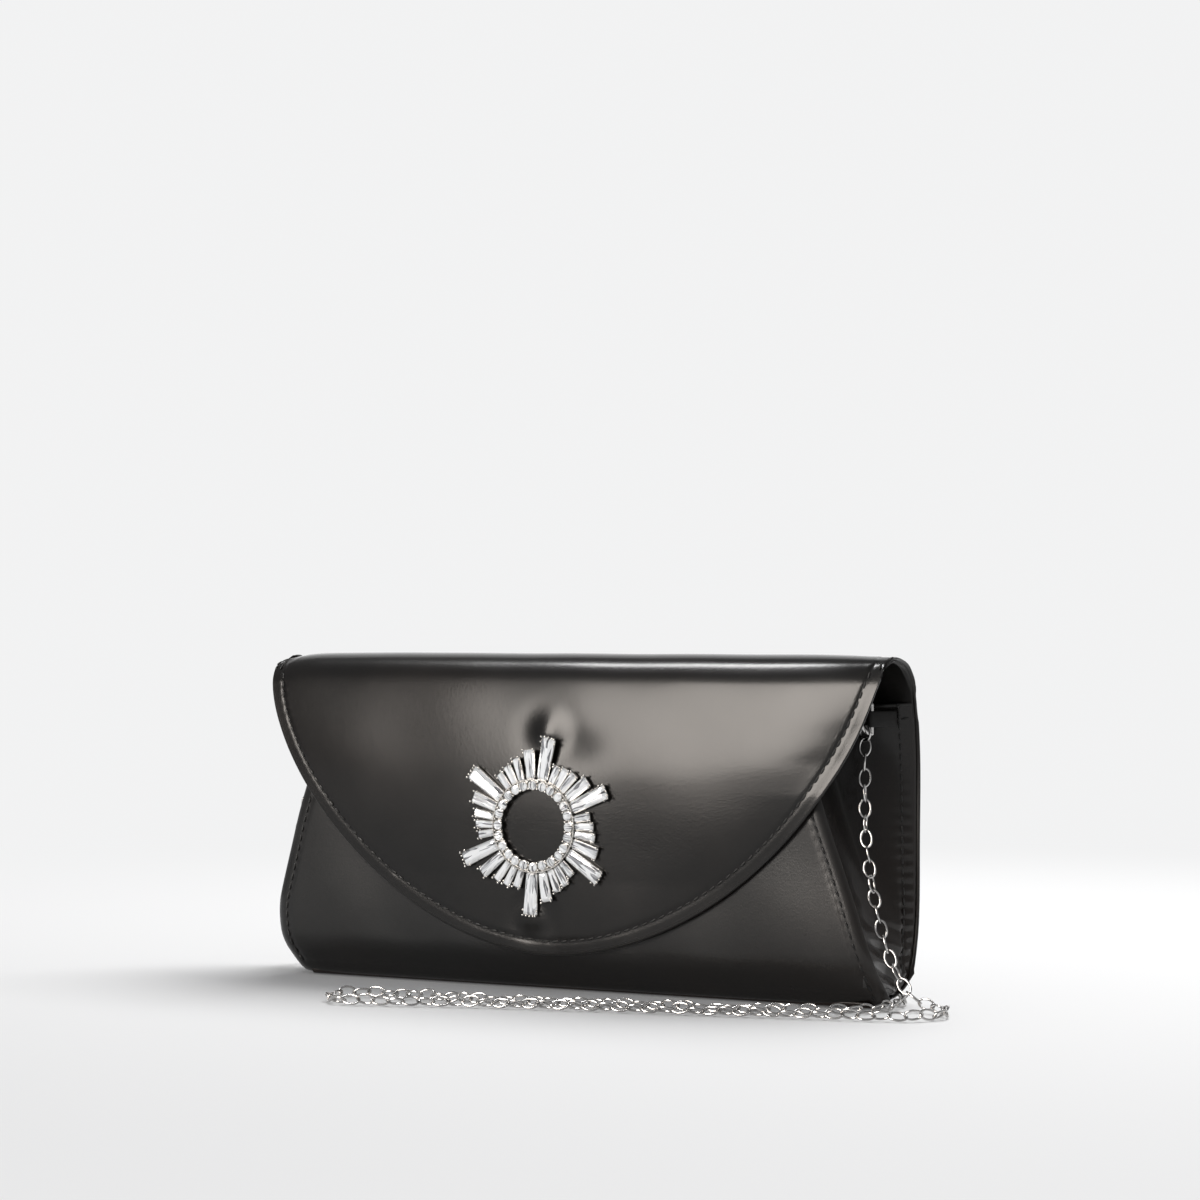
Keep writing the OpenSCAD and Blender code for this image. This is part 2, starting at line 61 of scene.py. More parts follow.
bpy.context.scene.camera = camera
bpy.context.scene.view_settings.view_transform = "Standard"

# ---- Shoulder chain: a fine cable chain of oval wire links, silver plated ----
# It hangs from the right ring, lies in one loop in front, passes behind and rises to the left ring.
# Each link is bent from round wire and turned a quarter against its neighbours.
MM = 0.001
CHAIN_ROUTE = [
    (0.1135, 0.0049, 0.09), (0.1137, 0.0043, 0.075), (0.1154, 0.0016, 0.058), (0.1194, -0.0018, 0.04),
    (0.124, -0.0032, 0.024), (0.1295, -0.004, 0.012), (0.1355, -0.0046, 0.005), (0.143, -0.006, 0.0024),
    (0.1496, -0.011, 0.0024), (0.152, -0.02, 0.0024), (0.147, -0.0285, 0.0024), (0.136, -0.0335, 0.0024),
    (0.112, -0.0395, 0.0024), (0.076, -0.048, 0.0024), (0.036, -0.057, 0.0024), (-0.002, -0.067, 0.0024),
    (-0.03, -0.077, 0.0024), (-0.043, -0.0808, 0.0024), (-0.0513, -0.0773, 0.0024), (-0.0548, -0.069, 0.0024),
    (-0.0513, -0.0607, 0.0024), (-0.043, -0.0572, 0.0024), (-0.028, -0.0575, 0.0024), (-0.002, -0.058, 0.0024),
    (0.034, -0.049, 0.0024), (0.072, -0.0405, 0.0024), (0.102, -0.0335, 0.0024), (0.119, -0.024, 0.0024),
    (0.127, -0.009, 0.0024), (0.126, 0.008, 0.0024), (0.117, 0.024, 0.0024), (0.098, 0.034, 0.0024),
    (0.066, 0.017, 0.0024), (0.034, 0.036, 0.0024), (0.002, 0.017, 0.0024), (-0.03, 0.036, 0.0024),
    (-0.062, 0.017, 0.0024), (-0.096, 0.036, 0.0024), (-0.115, 0.036, 0.0024), (-0.1285, 0.027, 0.005),
    (-0.131, 0.015, 0.015), (-0.127, 0.009, 0.032), (-0.12, 0.005, 0.054), (-0.1138, 0.0048, 0.075),
    (-0.1135, 0.0049, 0.09)
]
CHAIN_WIDTH = 0.0048
LINK_LENGTH, LINK_WIDTH, LINK_WIRE, LINK_PITCH = 0.0070, 0.0046, 0.00078, 0.00525


def smooth_line(points, steps):
    """The smooth line through the points, the same one that the chain's solid follows."""
    points = [np.array(p, float) for p in points]
    last, line = len(points) - 1, []
    for i in range(last):
        a, b, c, d = points[max(i - 1, 0)], points[i], points[i + 1], points[min(i + 2, last)]
        for k in range(steps):
            t = k / steps
            line.append(0.5 * (2 * b + (c - a) * t + (2 * a - 5 * b + 4 * c - d) * t * t
                               + (3 * b - a - 3 * c + d) * t ** 3))
    return np.array(line + [points[-1]])


def unit(v):
    return v / np.maximum(np.linalg.norm(v, axis=-1, keepdims=True), 1e-12)


class Wire:
    """A socket of a node. Sums on it add Math nodes."""

    def __init__(self, nodes, socket):
        self.nodes, self.socket = nodes, socket

    def sum(self, operation, first, second=0.0):
        return self.nodes.put("ShaderNodeMath", {"operation": operation}, {0: first, 1: second})

    def __add__(self, other): return self.sum("ADD", self, other)
    def __radd__(self, other): return self.sum("ADD", other, self)
    def __sub__(self, other): return self.sum("SUBTRACT", self, other)
    def __rsub__(self, other): return self.sum("SUBTRACT", other, self)
    def __mul__(self, other): return self.sum("MULTIPLY", self, other)
    def __rmul__(self, other): return self.sum("MULTIPLY", other, self)
    def __truediv__(self, other): return self.sum("DIVIDE", self, other)
    def __pow__(self, other): return self.sum("POWER", self, other)


class Nodes:
    """Adds nodes to a tree: put() takes a node's type, its settings and what goes into its sockets."""

    def __init__(self, tree):
        self.tree = tree
        tree.nodes.clear()

    def put(self, kind, settings=None, sockets=None, out=0):
        node = self.tree.nodes.new(kind)
        for key, value in (settings or {}).items():
            if key == "stops":
                ramp = node.color_ramp.elements
                while len(ramp) < len(value):
                    ramp.new(1)
                for element, (place, colour) in zip(ramp, value):
                    element.position, element.color = place, (*colour, 1)
            else:
                setattr(node, key, value)
        for key, value in (sockets or {}).items():
            if isinstance(value, Wire):
                self.tree.links.new(value.socket, node.inputs[key])
            else:
                node.inputs[key].default_value = value
        return Wire(self, node.outputs[out] if len(node.outputs) else None)

    def vector(self, operation, first, second, out=0):
        return self.put("ShaderNodeVectorMath", {"operation": operation}, {0: first, 1: second}, out)

    def mix(self, factor, first, second):
        """Mixes two colours."""
        return self.put("ShaderNodeMix", {"data_type": "RGBA"}, {0: factor, 6: first, 7: second}, 2)

    def noise(self, coords, scale, detail=2.0, roughness=0.5):
        return self.put("ShaderNodeTexNoise", None, {"Vector": coords, "Scale": scale, "Detail": detail,
                                                     "Roughness": roughness})

    def ramp(self, value, low, high, to_low=0.0, to_high=1.0):
        return self.put("ShaderNodeMapRange", {"interpolation_type": "SMOOTHSTEP"},
                        {"Value": value, "From Min": low, "From Max": high,
                         "To Min": to_low, "To Max": to_high})


def surface(name, paint, constants):
    """A material: paint() fills the shader's varying sockets, and the constants are set on the sockets."""
    material = bpy.data.materials.new(name)
    material.use_nodes = True
    nodes = Nodes(material.node_tree)
    shader = nodes.tree.nodes.new("ShaderNodeBsdfPrincipled")
    for key, value in constants.items():
        shader.inputs[key].default_value = value
    coords = nodes.put("ShaderNodeTexCoord", out=3)
    for key, value in paint(nodes, coords).items():
        nodes.tree.links.new(value.socket, shader.inputs[key])
    nodes.put("ShaderNodeOutputMaterial", None, {"Surface": Wire(nodes, shader.outputs[0])})
    return material


def bump(nodes, height, distance, strength=1.0, below=None):
    sockets = {"Height": height, "Distance": distance, "Strength": strength}
    if below is not None:
        sockets["Normal"] = below
    return nodes.put("ShaderNodeBump", None, sockets)


def plated(name, colour, roughness, scale=2500.0):
    """Bright plated metal with a faint haze, and soft wear on the places that are handled."""
    def paint(nodes, coords):
        haze = nodes.noise(coords, scale, 3.0)
        blotch = nodes.noise(coords, scale / 12, 2.0)
        dull = tuple(0.78 * c for c in colour)
        return {
            "Base Color": nodes.mix(nodes.ramp(blotch, 0.35, 0.7), (*dull, 1), (*colour, 1)),
            "Roughness": roughness * (0.7 + 0.6 * haze),
            "Normal": bump(nodes, haze, 0.00002, 0.35),
        }
    return surface(name, paint, {"Metallic": 1.0, "Specular IOR Level": 0.5})


def repeated(name, item, sizes, places, material):
    """Sets one copy of an item at every place: a point, the way its length runs, and the way out."""
    points = bpy.data.meshes.new(name)
    points.from_pydata([tuple(place[0]) for place in places], [], [])
    for label, k in (("along", 1), ("out", 2)):
        values = np.array([unit(np.array(place[k], float)) for place in places], np.float32).ravel()
        points.attributes.new(label, "FLOAT_VECTOR", "POINT").data.foreach_set("vector", values)
    tree = bpy.data.node_groups.new(name, "GeometryNodeTree")
    tree.interface.new_socket("Places", in_out="INPUT", socket_type="NodeSocketGeometry")
    keys = {label: tree.interface.new_socket(label, in_out="INPUT", socket_type="NodeSocketFloat").identifier
            for label in sizes}
    tree.interface.new_socket("Items", in_out="OUTPUT", socket_type="NodeSocketGeometry")
    nodes = Nodes(tree)
    group = tree.nodes.new("NodeGroupInput")
    given = {label: Wire(nodes, group.outputs[label]) for label in sizes}
    way = [nodes.put("GeometryNodeInputNamedAttribute", {"data_type": "FLOAT_VECTOR"}, {"Name": label})
           for label in ("along", "out")]
    turn = nodes.put("FunctionNodeAxesToRotation", {"primary_axis": "X", "secondary_axis": "Z"},
                     {"Primary Axis": way[0], "Secondary Axis": way[1]})
    copies = nodes.put("GeometryNodeInstanceOnPoints", None,
                       {"Points": Wire(nodes, group.outputs[0]), "Instance": item(nodes, given),
                        "Rotation": turn})
    solid = nodes.put("GeometryNodeRealizeInstances", None, {0: copies})
    shaded = nodes.put("GeometryNodeSetMaterial", None, {"Geometry": solid, "Material": material})
    nodes.put("NodeGroupOutput", None, {0: shaded})
    host = bpy.data.objects.new(name, points)
    bpy.context.scene.collection.objects.link(host)
    modifier = host.modifiers.new("places", "NODES")
    modifier.node_group = tree
    for label, value in sizes.items():
        modifier[keys[label]] = value
    bpy.context.view_layer.update()
    made = bpy.data.meshes.new_from_object(host.evaluated_get(bpy.context.evaluated_depsgraph_get()))
    host.modifiers.clear()
    host.data = made
    return host


def smooth_faces(nodes, geometry):
    return nodes.put("GeometryNodeSetShadeSmooth", None, {"Geometry": geometry, "Shade Smooth": True})


def link(nodes, size):
    """One oval link of round wire, lying flat."""
    ring = nodes.put("GeometryNodeCurvePrimitiveCircle", None, {"Resolution": 22, "Radius": 0.5})
    middle = nodes.put("ShaderNodeCombineXYZ", None,
                       {0: size["Link length"] - size["Wire"], 1: size["Link width"] - size["Wire"], 2: 1.0})
    oval = nodes.put("GeometryNodeTransform", None, {"Geometry": ring, "Scale": middle})
    profile = nodes.put("GeometryNodeCurvePrimitiveCircle", None,
                        {"Resolution": 8, "Radius": size["Wire"] * 0.5})
    return smooth_faces(nodes, nodes.put("GeometryNodeCurveToMesh", None,
                                         {"Curve": oval, "Profile Curve": profile, "Fill Caps": False}))


def link_places(line, pitch, start, end):
    """Places along the chain's line, each turned a quarter on from the last, with a little slack."""
    steps = np.linalg.norm(np.diff(line, axis=0), axis=1)
    run = np.concatenate([[0], np.cumsum(steps)])
    chance = np.random.default_rng(7)
    places = []
    for n, s in enumerate(np.arange(start, run[-1] - end, pitch)):
        point = np.array([np.interp(s, run, line[:, k]) for k in range(3)])
        ahead = np.array([np.interp(s + pitch / 3, run, line[:, k]) for k in range(3)])
        behind = np.array([np.interp(s - pitch / 3, run, line[:, k]) for k in range(3)])
        along = unit(ahead - behind)
        lying = 1 - abs(along[2])
        up = unit(np.array([0.25 * (1 - lying), -(1 - lying), lying]))
        across = unit(np.cross(along, up))
        up = np.cross(across, along)
        lie = math.radians(45 * lying + chance.uniform(-16, 16)) + (math.pi / 2 if n % 2 else 0)
        out = math.cos(lie) * up + math.sin(lie) * across
        if lying > 0.9:
            rest = 0.5 * (LINK_WIDTH - LINK_WIRE) * abs(math.sin(lie)) + 0.5 * LINK_WIRE
            point[2] += rest - CHAIN_WIDTH / 2 + 0.0002
        along = unit(along + 0.10 * chance.uniform(-1, 1) * up + 0.10 * chance.uniform(-1, 1) * across)
        places.append((point, along, out))
    return places


chain_line = smooth_line(CHAIN_ROUTE, 12)
silver_plate = plated("silver_plate", (0.56, 0.55, 0.54), 0.17)
shoulder_chain = repeated("chain_links", link,
                          {"Link length": LINK_LENGTH, "Link width": LINK_WIDTH, "Wire": LINK_WIRE},
                          link_places(chain_line, LINK_PITCH, 0.0015, 0.0012), silver_plate)
chain_length = float(np.linalg.norm(np.diff(chain_line, axis=0), axis=1).sum())
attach(shoulder_chain, "shell")
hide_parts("shoulder_chain")


def dress(node, material):
    """Gives a CAD node its finish."""
    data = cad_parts[node].data
    data.materials.clear()
    data.materials.append(material)


# ---- Rings: a D ring on each end of the bag, and the jump ring that joins the chain to it ----
# Bent from bright plated wire. The chain's last link closes round the jump ring.
ring_plate = plated("ring_plate", (0.52, 0.51, 0.50), 0.15, 1200.0)
for ring in ("strap_ring_left", "strap_ring_right", "chain_end_ring_left", "chain_end_ring_right"):
    dress(ring, ring_plate)

# ---- Back panel: smooth glossy faux leather, which runs down the back and turns under the bag ----
# It is lined, and stiffened with board that lies hidden inside. Its top edge meets the flap in a flat seam.
WIDTH, HEIGHT = 250.0, 120.0
LEFT_CORNER, RIGHT_CORNER = 22.0, 10.0
LEATHER = 1.0
STITCH_IN, STITCH_PITCH = 5.0, 3.8


def leather(name, colour, roughness, coat, warm=0.0):
    """Black coated leather: fine pebbles, a soft haze in the gloss, creases near the edges, and a painted
    highlight that lightens the colour along the edges, where the same mask also makes the leather rougher, as
    wear.
    """
    def paint(nodes, coords):
        pebbles = nodes.put("ShaderNodeTexVoronoi", {"feature": "SMOOTH_F1"},
                            {"Vector": coords, "Scale": 1500.0, "Smoothness": 0.6})
        fine = nodes.noise(coords, 3800.0, 2.0)
        haze = nodes.noise(coords, 55.0, 4.0, 0.6)
        cloud = nodes.noise(coords, 14.0, 2.0)
        rim = nodes.put("ShaderNodeAttribute", {"attribute_name": "edge"}, out=2)
        # Painted highlight: near the edge and on the rolled rim the colour is mixed towards a paler copy of
        # the leather's colour. This stands in for the thin light line that the turned edge catches. The same
        # mask also raises the roughness there, as wear.
        edge_highlight_and_wear = nodes.ramp(rim, 0.0, 0.9, 1.0, 0.0)
        light = tuple(2.4 * c + 0.010 for c in colour)
        brown = (colour[0] * 1.5 + 0.006, colour[1] * 1.1 + 0.002, colour[2] * 0.9)
        tone = nodes.mix(nodes.ramp(cloud, 0.3, 0.7, 0.0, 0.35 + warm), (*colour, 1), (*brown, 1))
        height = nodes.noise(coords, 800.0, 3.0) * 0.5 + pebbles * 0.35 + fine * 0.15
        return {
            # The painted edge highlight is mixed into the colour here.
            "Base Color": nodes.mix(edge_highlight_and_wear * 0.4, tone, (*light, 1)),
            "Roughness": roughness * (0.82 + 0.36 * haze) + 0.10 * edge_highlight_and_wear,
            "Normal": bump(nodes, height, 0.00008, 0.5),
        }
    return surface(name, paint, {"IOR": 1.31, "Coat Weight": coat, "Coat Roughness": 0.13, "Coat IOR": 1.25})


class Profile:
    """A section of the bag, as depth and height, run through by distance."""

    def __init__(self, points, steps=24):
        self.line = smooth_line(points, steps)
        steps = np.linalg.norm(np.diff(self.line, axis=0), axis=1)
        self.run = np.concatenate([[0], np.cumsum(steps)])
        self.length = self.run[-1]

    def at(self, s):
        return np.stack([np.interp(s, self.run, self.line[:, k]) for k in (0, 1)], -1)

    def outward(self, s):
        ahead = self.at(np.minimum(s + 0.5, self.length)) - self.at(np.maximum(s - 0.5, 0))
        ahead = unit(ahead)
        return np.stack([-ahead[..., 1], ahead[..., 0]], -1)

    def when(self, z, falling=False):
        """The distance at which a height is reached on the part that rises, or on the part that falls."""
        top = int(np.argmax(self.line[:, 1]))
        if falling:
            return np.interp(-np.asarray(z, float), -self.line[top:, 1], self.run[top:])
        return np.interp(z, self.line[:top + 1, 1], self.run[:top + 1])

    def depth(self, z, falling=False):
        return self.at(self.when(z, falling))[..., 0]


def border(rows, columns):
    """Indices round a grid's edge, in order."""
    grid = np.arange(rows * columns).reshape(rows, columns)
    return np.concatenate([grid[0, :-1], grid[:-1, -1], grid[-1, :0:-1], grid[:0:-1, 0]])


def grid_normals(p):
    across = np.gradient(p, axis=1)
    up = np.gradient(p, axis=0)
    return unit(np.cross(across, up))


def edge_distance(p):
    """How far each point of a grid is from its edge, and how far along the edge the nearest place is."""
    rows, columns = p.shape[:2]
    flat = p.reshape(-1, 3)
    edge = flat[border(rows, columns)]
    run = np.concatenate([[0], np.cumsum(np.linalg.norm(np.diff(edge, axis=0), axis=1))])
    near, which = np.full(len(flat), 1e9), np.zeros(len(flat), int)
    for start in range(0, len(edge), 64):
        gap = np.linalg.norm(flat[:, None] - edge[None, start:start + 64], axis=2)
        best = gap.argmin(1)
        value = gap[np.arange(len(flat)), best]
        closer = value < near
        near[closer], which[closer] = value[closer], best[closer] + start
    return near.reshape(rows, columns), run[which].reshape(rows, columns)


def sewn(p, amount=0.35, pucker=0.12, inset=STITCH_IN):
    """Pulls a grid in along its stitches, with small puckers on both sides of them."""
    far, along = edge_distance(p)
    groove = np.exp(-((far - inset) / 0.8) ** 2)
    ripple = np.cos(along * 2 * math.pi / STITCH_PITCH) * np.exp(-((far - inset - 0.4) / 1.4) ** 2)
    return p + grid_normals(p) * (-amount * groove + pucker * ripple)[..., None]


def cells(grid):
    """The four corners of every cell of a grid."""
    corners = grid[:-1, :-1], grid[:-1, 1:], grid[1:, 1:], grid[1:, :-1]
    return np.stack([corner.ravel() for corner in corners], 1)


def sheet_of(name, p, thick, material, inner=None, rim=6):
    """A closed sheet from the grid of its outer face, in millimetres, with a round edge."""
    rows, columns = p.shape[:2]
    count = rows * columns
    normal = grid_normals(p).reshape(-1, 3)
    outer = p.reshape(-1, 3)
    thick = np.broadcast_to(np.asarray(thick, float), (rows, columns)).reshape(-1, 1)
    edge = border(rows, columns)
    grid = np.arange(count).reshape(rows, columns)
    inside = np.concatenate([grid[1, 1:-1], grid[1:-1, -2], grid[-2, -2:0:-1], grid[-2:0:-1, 1]])
    inward = np.zeros((count, 3))
    inward[grid[0]] += p[1] - p[0]
    inward[grid[-1]] += p[-2] - p[-1]
    for column, into in ((0, p[:, 1] - p[:, 0]), (-1, p[:, -2] - p[:, -1])):
        reach = np.linalg.norm(inward[grid[:, column]], axis=1, keepdims=True).clip(1)
        inward[grid[:, column]] += unit(into) * reach
    away = -inward[edge]
    away = unit(away - (away * normal[edge]).sum(1, keepdims=True) * normal[edge])
    half = thick[edge] / 2
    verts = [outer, outer - normal * thick]
    for k in range(1, rim):
        turn = math.pi * k / rim
        verts.append(outer[edge] - normal[edge] * half * (1 - math.cos(turn)) + away * half * math.sin(turn))
    quads = cells(grid)
    faces = quads.tolist() + (quads[:, ::-1] + count).tolist()
    between = [2 * count + k * len(edge) + np.arange(len(edge)) for k in range(rim - 1)]
    rings = [edge] + between + [edge + count]
    for near, far in zip(rings[:-1], rings[1:]):
        faces += np.stack([near, far, np.roll(far, -1), np.roll(near, -1)], 1).tolist()
    mesh = bpy.data.meshes.new(name)
    verts = np.concatenate(verts)
    mesh.from_pydata((verts * MM).tolist(), [], faces)
    mesh.polygons.foreach_set("use_smooth", [True] * len(mesh.polygons))
    far = edge_distance(p)[0].ravel()
    # The leather reads this distance from the edge for its painted edge highlight. The rolled rim is given 0,
    # so it gets the full painted highlight.
    edge_values = np.concatenate([far, far, np.zeros(len(verts) - 2 * count)]).astype(np.float32)
    mesh.attributes.new("edge", "FLOAT", "POINT").data.foreach_set("value", edge_values)
    mesh.materials.append(material)
    if inner is not None:
        mesh.materials.append(inner)
        which = np.zeros(len(mesh.polygons), np.int32)
        which[(rows - 1) * (columns - 1):2 * (rows - 1) * (columns - 1)] = 1
        mesh.polygons.foreach_set("material_index", which)
    piece = bpy.data.objects.new(name, mesh)
    bpy.context.scene.collection.objects.link(piece)
    return piece


def stitches(p, chosen, inset=STITCH_IN, pitch=STITCH_PITCH, lift=0.10):
    """Places for a row of stitches, a set distance inside the part of a grid's edge that is chosen."""
    rows, columns = p.shape[:2]
    flat = p.reshape(-1, 3)
    edge = border(rows, columns)
    grid = np.arange(rows * columns).reshape(rows, columns)
    tree = BVHTree.FromPolygons(flat.tolist(), cells(grid).tolist())
    normal = grid_normals(p).reshape(-1, 3)
    line = flat[edge]
    ahead = unit(np.roll(line, -1, 0) - np.roll(line, 1, 0))
    inward = np.cross(normal[edge], ahead)
    centre = flat.mean(0)
    if ((centre - line) * inward).sum(1).mean() < 0:
        inward = -inward
    run = np.concatenate([[0], np.cumsum(np.linalg.norm(np.diff(line, axis=0), axis=1))])
    places = []
    for s in np.arange(pitch / 2, run[-1], pitch):
        at = [np.array([np.interp(s, run, values[:, k]) for k in range(3)])
              for values in (line, ahead, inward, normal[edge])]
        if not chosen(at[0]):
            continue
        spot, out = tree.find_nearest(Vector(at[0] + inset * unit(at[2])))[:2]
        out = np.array(out)
        if (out * at[3]).sum() < 0:
            out = -out
        slant = unit(at[1] + 0.10 * at[2])
        places.append(((np.array(spot) + out * lift) * MM, slant, out))
    return places


def stitch(nodes, size):
    """One stitch: a short, plump length of thread that dips at both ends."""
    ball = nodes.put("GeometryNodeMeshUVSphere", None, {"Segments": 10, "Rings": 6, "Radius": 0.5})
    shape = nodes.put("ShaderNodeCombineXYZ", None,
                      {0: size["Stitch length"], 1: size["Thread"], 2: size["Thread"] * 0.8})
    return smooth_faces(nodes, nodes.put("GeometryNodeTransform", None, {"Geometry": ball, "Scale": shape}))


def thread_paint(nodes, coords):
    twist = nodes.put("ShaderNodeTexWave", {"bands_direction": "DIAGONAL"},
                      {"Vector": coords, "Scale": 900.0})
    return {"Base Color": nodes.mix(twist, (0.005, 0.005, 0.005, 1), (0.018, 0.017, 0.016, 1)),
            "Roughness": 0.36 + 0.2 * twist, "Normal": bump(nodes, twist, 0.00008, 0.6)}


thread = surface("black_thread", thread_paint, {"IOR": 1.4})


def sew(name, places, body, node=None):
    """A row of stitches that rides on a body."""
    row = repeated(name, stitch, {"Stitch length": 0.0028, "Thread": 0.00082}, places, thread)
    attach(row, body)
    if node:
        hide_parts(node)


def spread(count, half):
    """Columns over a width, closer together at both sides."""
    a = np.linspace(-1, 1, count)
    return half * (0.72 * np.sin(a * math.pi / 2) + 0.28 * a)


BACK = Profile([(23.1, 106.0), (24.2, 100.8), (25.1, 95.6), (26.3, 85.0), (26.7, 70.0), (26.7, 50.0),
                (26.3, 34.0), (24.9, 22.5), (21.6, 12.3), (16.5, 5.2), (10.5, 1.0), (7.6, 0.2), (5.5, 0.0)])
BACK_TOP = 96.8
UNDER_FROM, UNDER_TO = -103, 116


def corner_cut(x):
    """How far the rounded lower corners lift the edge. The left one is rounder."""
    corner = np.where(np.asarray(x) < 0, LEFT_CORNER, RIGHT_CORNER)
    beyond = np.clip(np.abs(x) - (WIDTH / 2 - corner), 0, corner)
    return corner - np.sqrt(corner ** 2 - beyond ** 2)


def soft_waves(x, z, seed, amount):
    """Long soft waves in the leather, from a few sums of sines."""
    chance = np.random.default_rng(seed)
    total = 0
    for n in range(5):
        length = chance.uniform(38, 95)
        way = chance.uniform(0, math.pi)
        across = x * math.cos(way) + z * math.sin(way)
        total = total + np.sin(across * 2 * math.pi / length + chance.uniform(0, 6.3))
    return amount * total / 2.2


leather_back = leather("leather_back", (0.0062, 0.0058, 0.0053), 0.34, 0.35)
x = spread(121, WIDTH / 2)
start = float(BACK.when(BACK_TOP, True))
end = BACK.when(np.maximum(corner_cut(x), 0.35), True)
end[(x > UNDER_FROM) & (x < UNDER_TO)] = BACK.length
share = np.linspace(0, 1, 86)[:, None]
s = start + (end - start)[None, :] * share
yz = BACK.at(s)
turned = 0.9 * np.exp(-((WIDTH / 2 - np.abs(x)) / 13.0) ** 1.5)[None, :]
hold = np.sin(np.clip(share, 0, 1) * math.pi)
swell = soft_waves(x[None, :], yz[..., 1], 3, 0.28) * hold
back_grid = np.stack([np.broadcast_to(x, s.shape), yz[..., 0] - turned + swell, yz[..., 1]], -1)
back_grid = sewn(back_grid, 0.20, 0.07)
back_skin = sheet_of("back_skin", back_grid, LEATHER, leather_back)
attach(back_skin, "shell")
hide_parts("back_panel", "back_board")
sew("back_stitching", stitches(back_grid, lambda q: q[2] > 6), "shell")

# ---- Bottom: the leather turns under the bag, over a strip of board that it stands on ----
leather_base = leather("leather_base", (0.017, 0.0115, 0.0095), 0.42, 0.15, 0.3)
BASE = Profile([(8.8, 2.2), (6.6, 0.35), (3.5, 0.05), (-2.5, 0.05), (-5.4, 0.3), (-6.6, 1.5)])
x = spread(81, 113.5) + 6.5
s = np.linspace(0, BASE.length, 22)[:, None] * np.ones((1, len(x)))
yz = BASE.at(s)
base_grid = np.stack([np.broadcast_to(x, s.shape), yz[..., 0], yz[..., 1]], -1)
base_skin = sheet_of("base_skin", base_grid, 0.9, leather_base)
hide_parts("bottom_strip")
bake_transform(base_skin)

# ---- Front panel: the same leather, narrower towards the mouth, with a stitched turned edge ----
# The sides are half the panel's width by height, at the left end and at the right end.
FRONT = Profile([(-5.6, 0.7), (-7.1, 1.7), (-8.7, 5.4), (-10.7, 12.0), (-11.3, 20.4), (-11.4, 45.0),
                 (-11.4, 60.0), (-11.2, 70.0), (-10.6, 82.0), (-9.4, 91.5), (-7.7, 99.8)])
LEFT_SIDE = smooth_line([(0, 110.5), (3, 113.5), (9, 116.8), (14, 118.6), (20, 119.4), (25.5, 119.4),
                         (31, 118.6), (48, 114.3), (65, 109.3), (100, 97)], 12)
RIGHT_SIDE = smooth_line([(0, 121.5), (1.2, 124.3), (3.5, 125.2), (12.7, 123.4), (27, 118.8),
                          (37, 115.4), (61, 106.6), (72, 102.8), (100, 92.5)], 12)


def front_half(z, side):
    left, right = (np.interp(z, line[:, 0], line[:, 1]) for line in (LEFT_SIDE, RIGHT_SIDE))
    return np.where(side < 0, left, right)


# Painted light: this copy of the leather has a lighter colour than the back, the flap and the gussets. It
# stands in for the light that the lower front reflects, while the real front is the same black leather.
leather_front_painted_lighter = leather("leather_front_painted_lighter", (0.0110, 0.0106, 0.0101), 0.30, 0.9)
side = spread(141, 1.0)
rows = np.concatenate([np.linspace(0, 14, 18), np.linspace(14, FRONT.length, 70)[1:]])
s = rows[:, None] * np.ones((1, len(side)))
yz = FRONT.at(s)
half = front_half(yz[..., 1], side[None, :])
x = side[None, :] * half
turned = 1.6 * np.exp(-(half - np.abs(x)) / 2.2)
turned += np.where(x > 0, 5.5, 1.5) * np.exp(-(half - np.abs(x)) / 7) * np.exp(-(yz[..., 1] / 11) ** 2)
held = np.exp(-(x ** 2 + (yz[..., 1] - 30) ** 2) / 18 ** 2)
swell = soft_waves(x, yz[..., 1], 11, 0.22) * (1 - held) * np.clip((yz[..., 1] - 2) / 15, 0, 1)
under_flap = np.clip((yz[..., 1] - 12) / 20, 0, 1) * np.clip(1 - np.abs(x) / 100, 0, 1)
y = yz[..., 0] + turned - swell * (1 - 0.8 * under_flap) + 0.25 * under_flap * (1 - held)
front_grid = np.stack([x, y, yz[..., 1]], -1)
front_grid = sewn(front_grid, 0.22, 0.035)
front_skin = sheet_of("front_skin", front_grid, LEATHER, leather_front_painted_lighter)
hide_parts("front_panel", "front_board")
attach(front_skin, "front")
sew("front_stitching", stitches(front_grid, lambda q: q[2] > 3.0), "front")

# ---- Gussets: one soft sheet at each end, folded inwards between the two panels ----
# Its edges are caught in the side seams, and it gathers in small puckers towards the bottom.
leather_gusset = leather("leather_gusset", (0.0075, 0.0070, 0.0064), 0.25, 0.5)
GUSSET_LOW = 4.0


def woven(name, dark, light, scale):
    """Closely woven satin lining."""
    def paint(nodes, coords):
        split = nodes.put("ShaderNodeSeparateXYZ", None, {0: coords})
        across = nodes.put("ShaderNodeSeparateXYZ", None, {0: coords}, 2)
        warp = nodes.put("ShaderNodeMath", {"operation": "SINE"}, {0: split * scale})
        weft = nodes.put("ShaderNodeMath", {"operation": "SINE"}, {0: across * scale})
        cross = warp * weft * 0.5 + 0.5
        slub = nodes.noise(coords, 260.0, 3.0)
        return {"Base Color": nodes.mix(cross * 0.6 + slub * 0.4, (*dark, 1), (*light, 1)),
                "Roughness": 0.48 + 0.2 * slub, "Normal": bump(nodes, cross + slub * 0.3, 0.00006, 0.5)}
    return surface(name, paint, {"Sheen Weight": 0.25, "Sheen Roughness": 0.4})


lining = woven("black_lining", (0.008, 0.0078, 0.0075), (0.026, 0.025, 0.024), 5200.0)


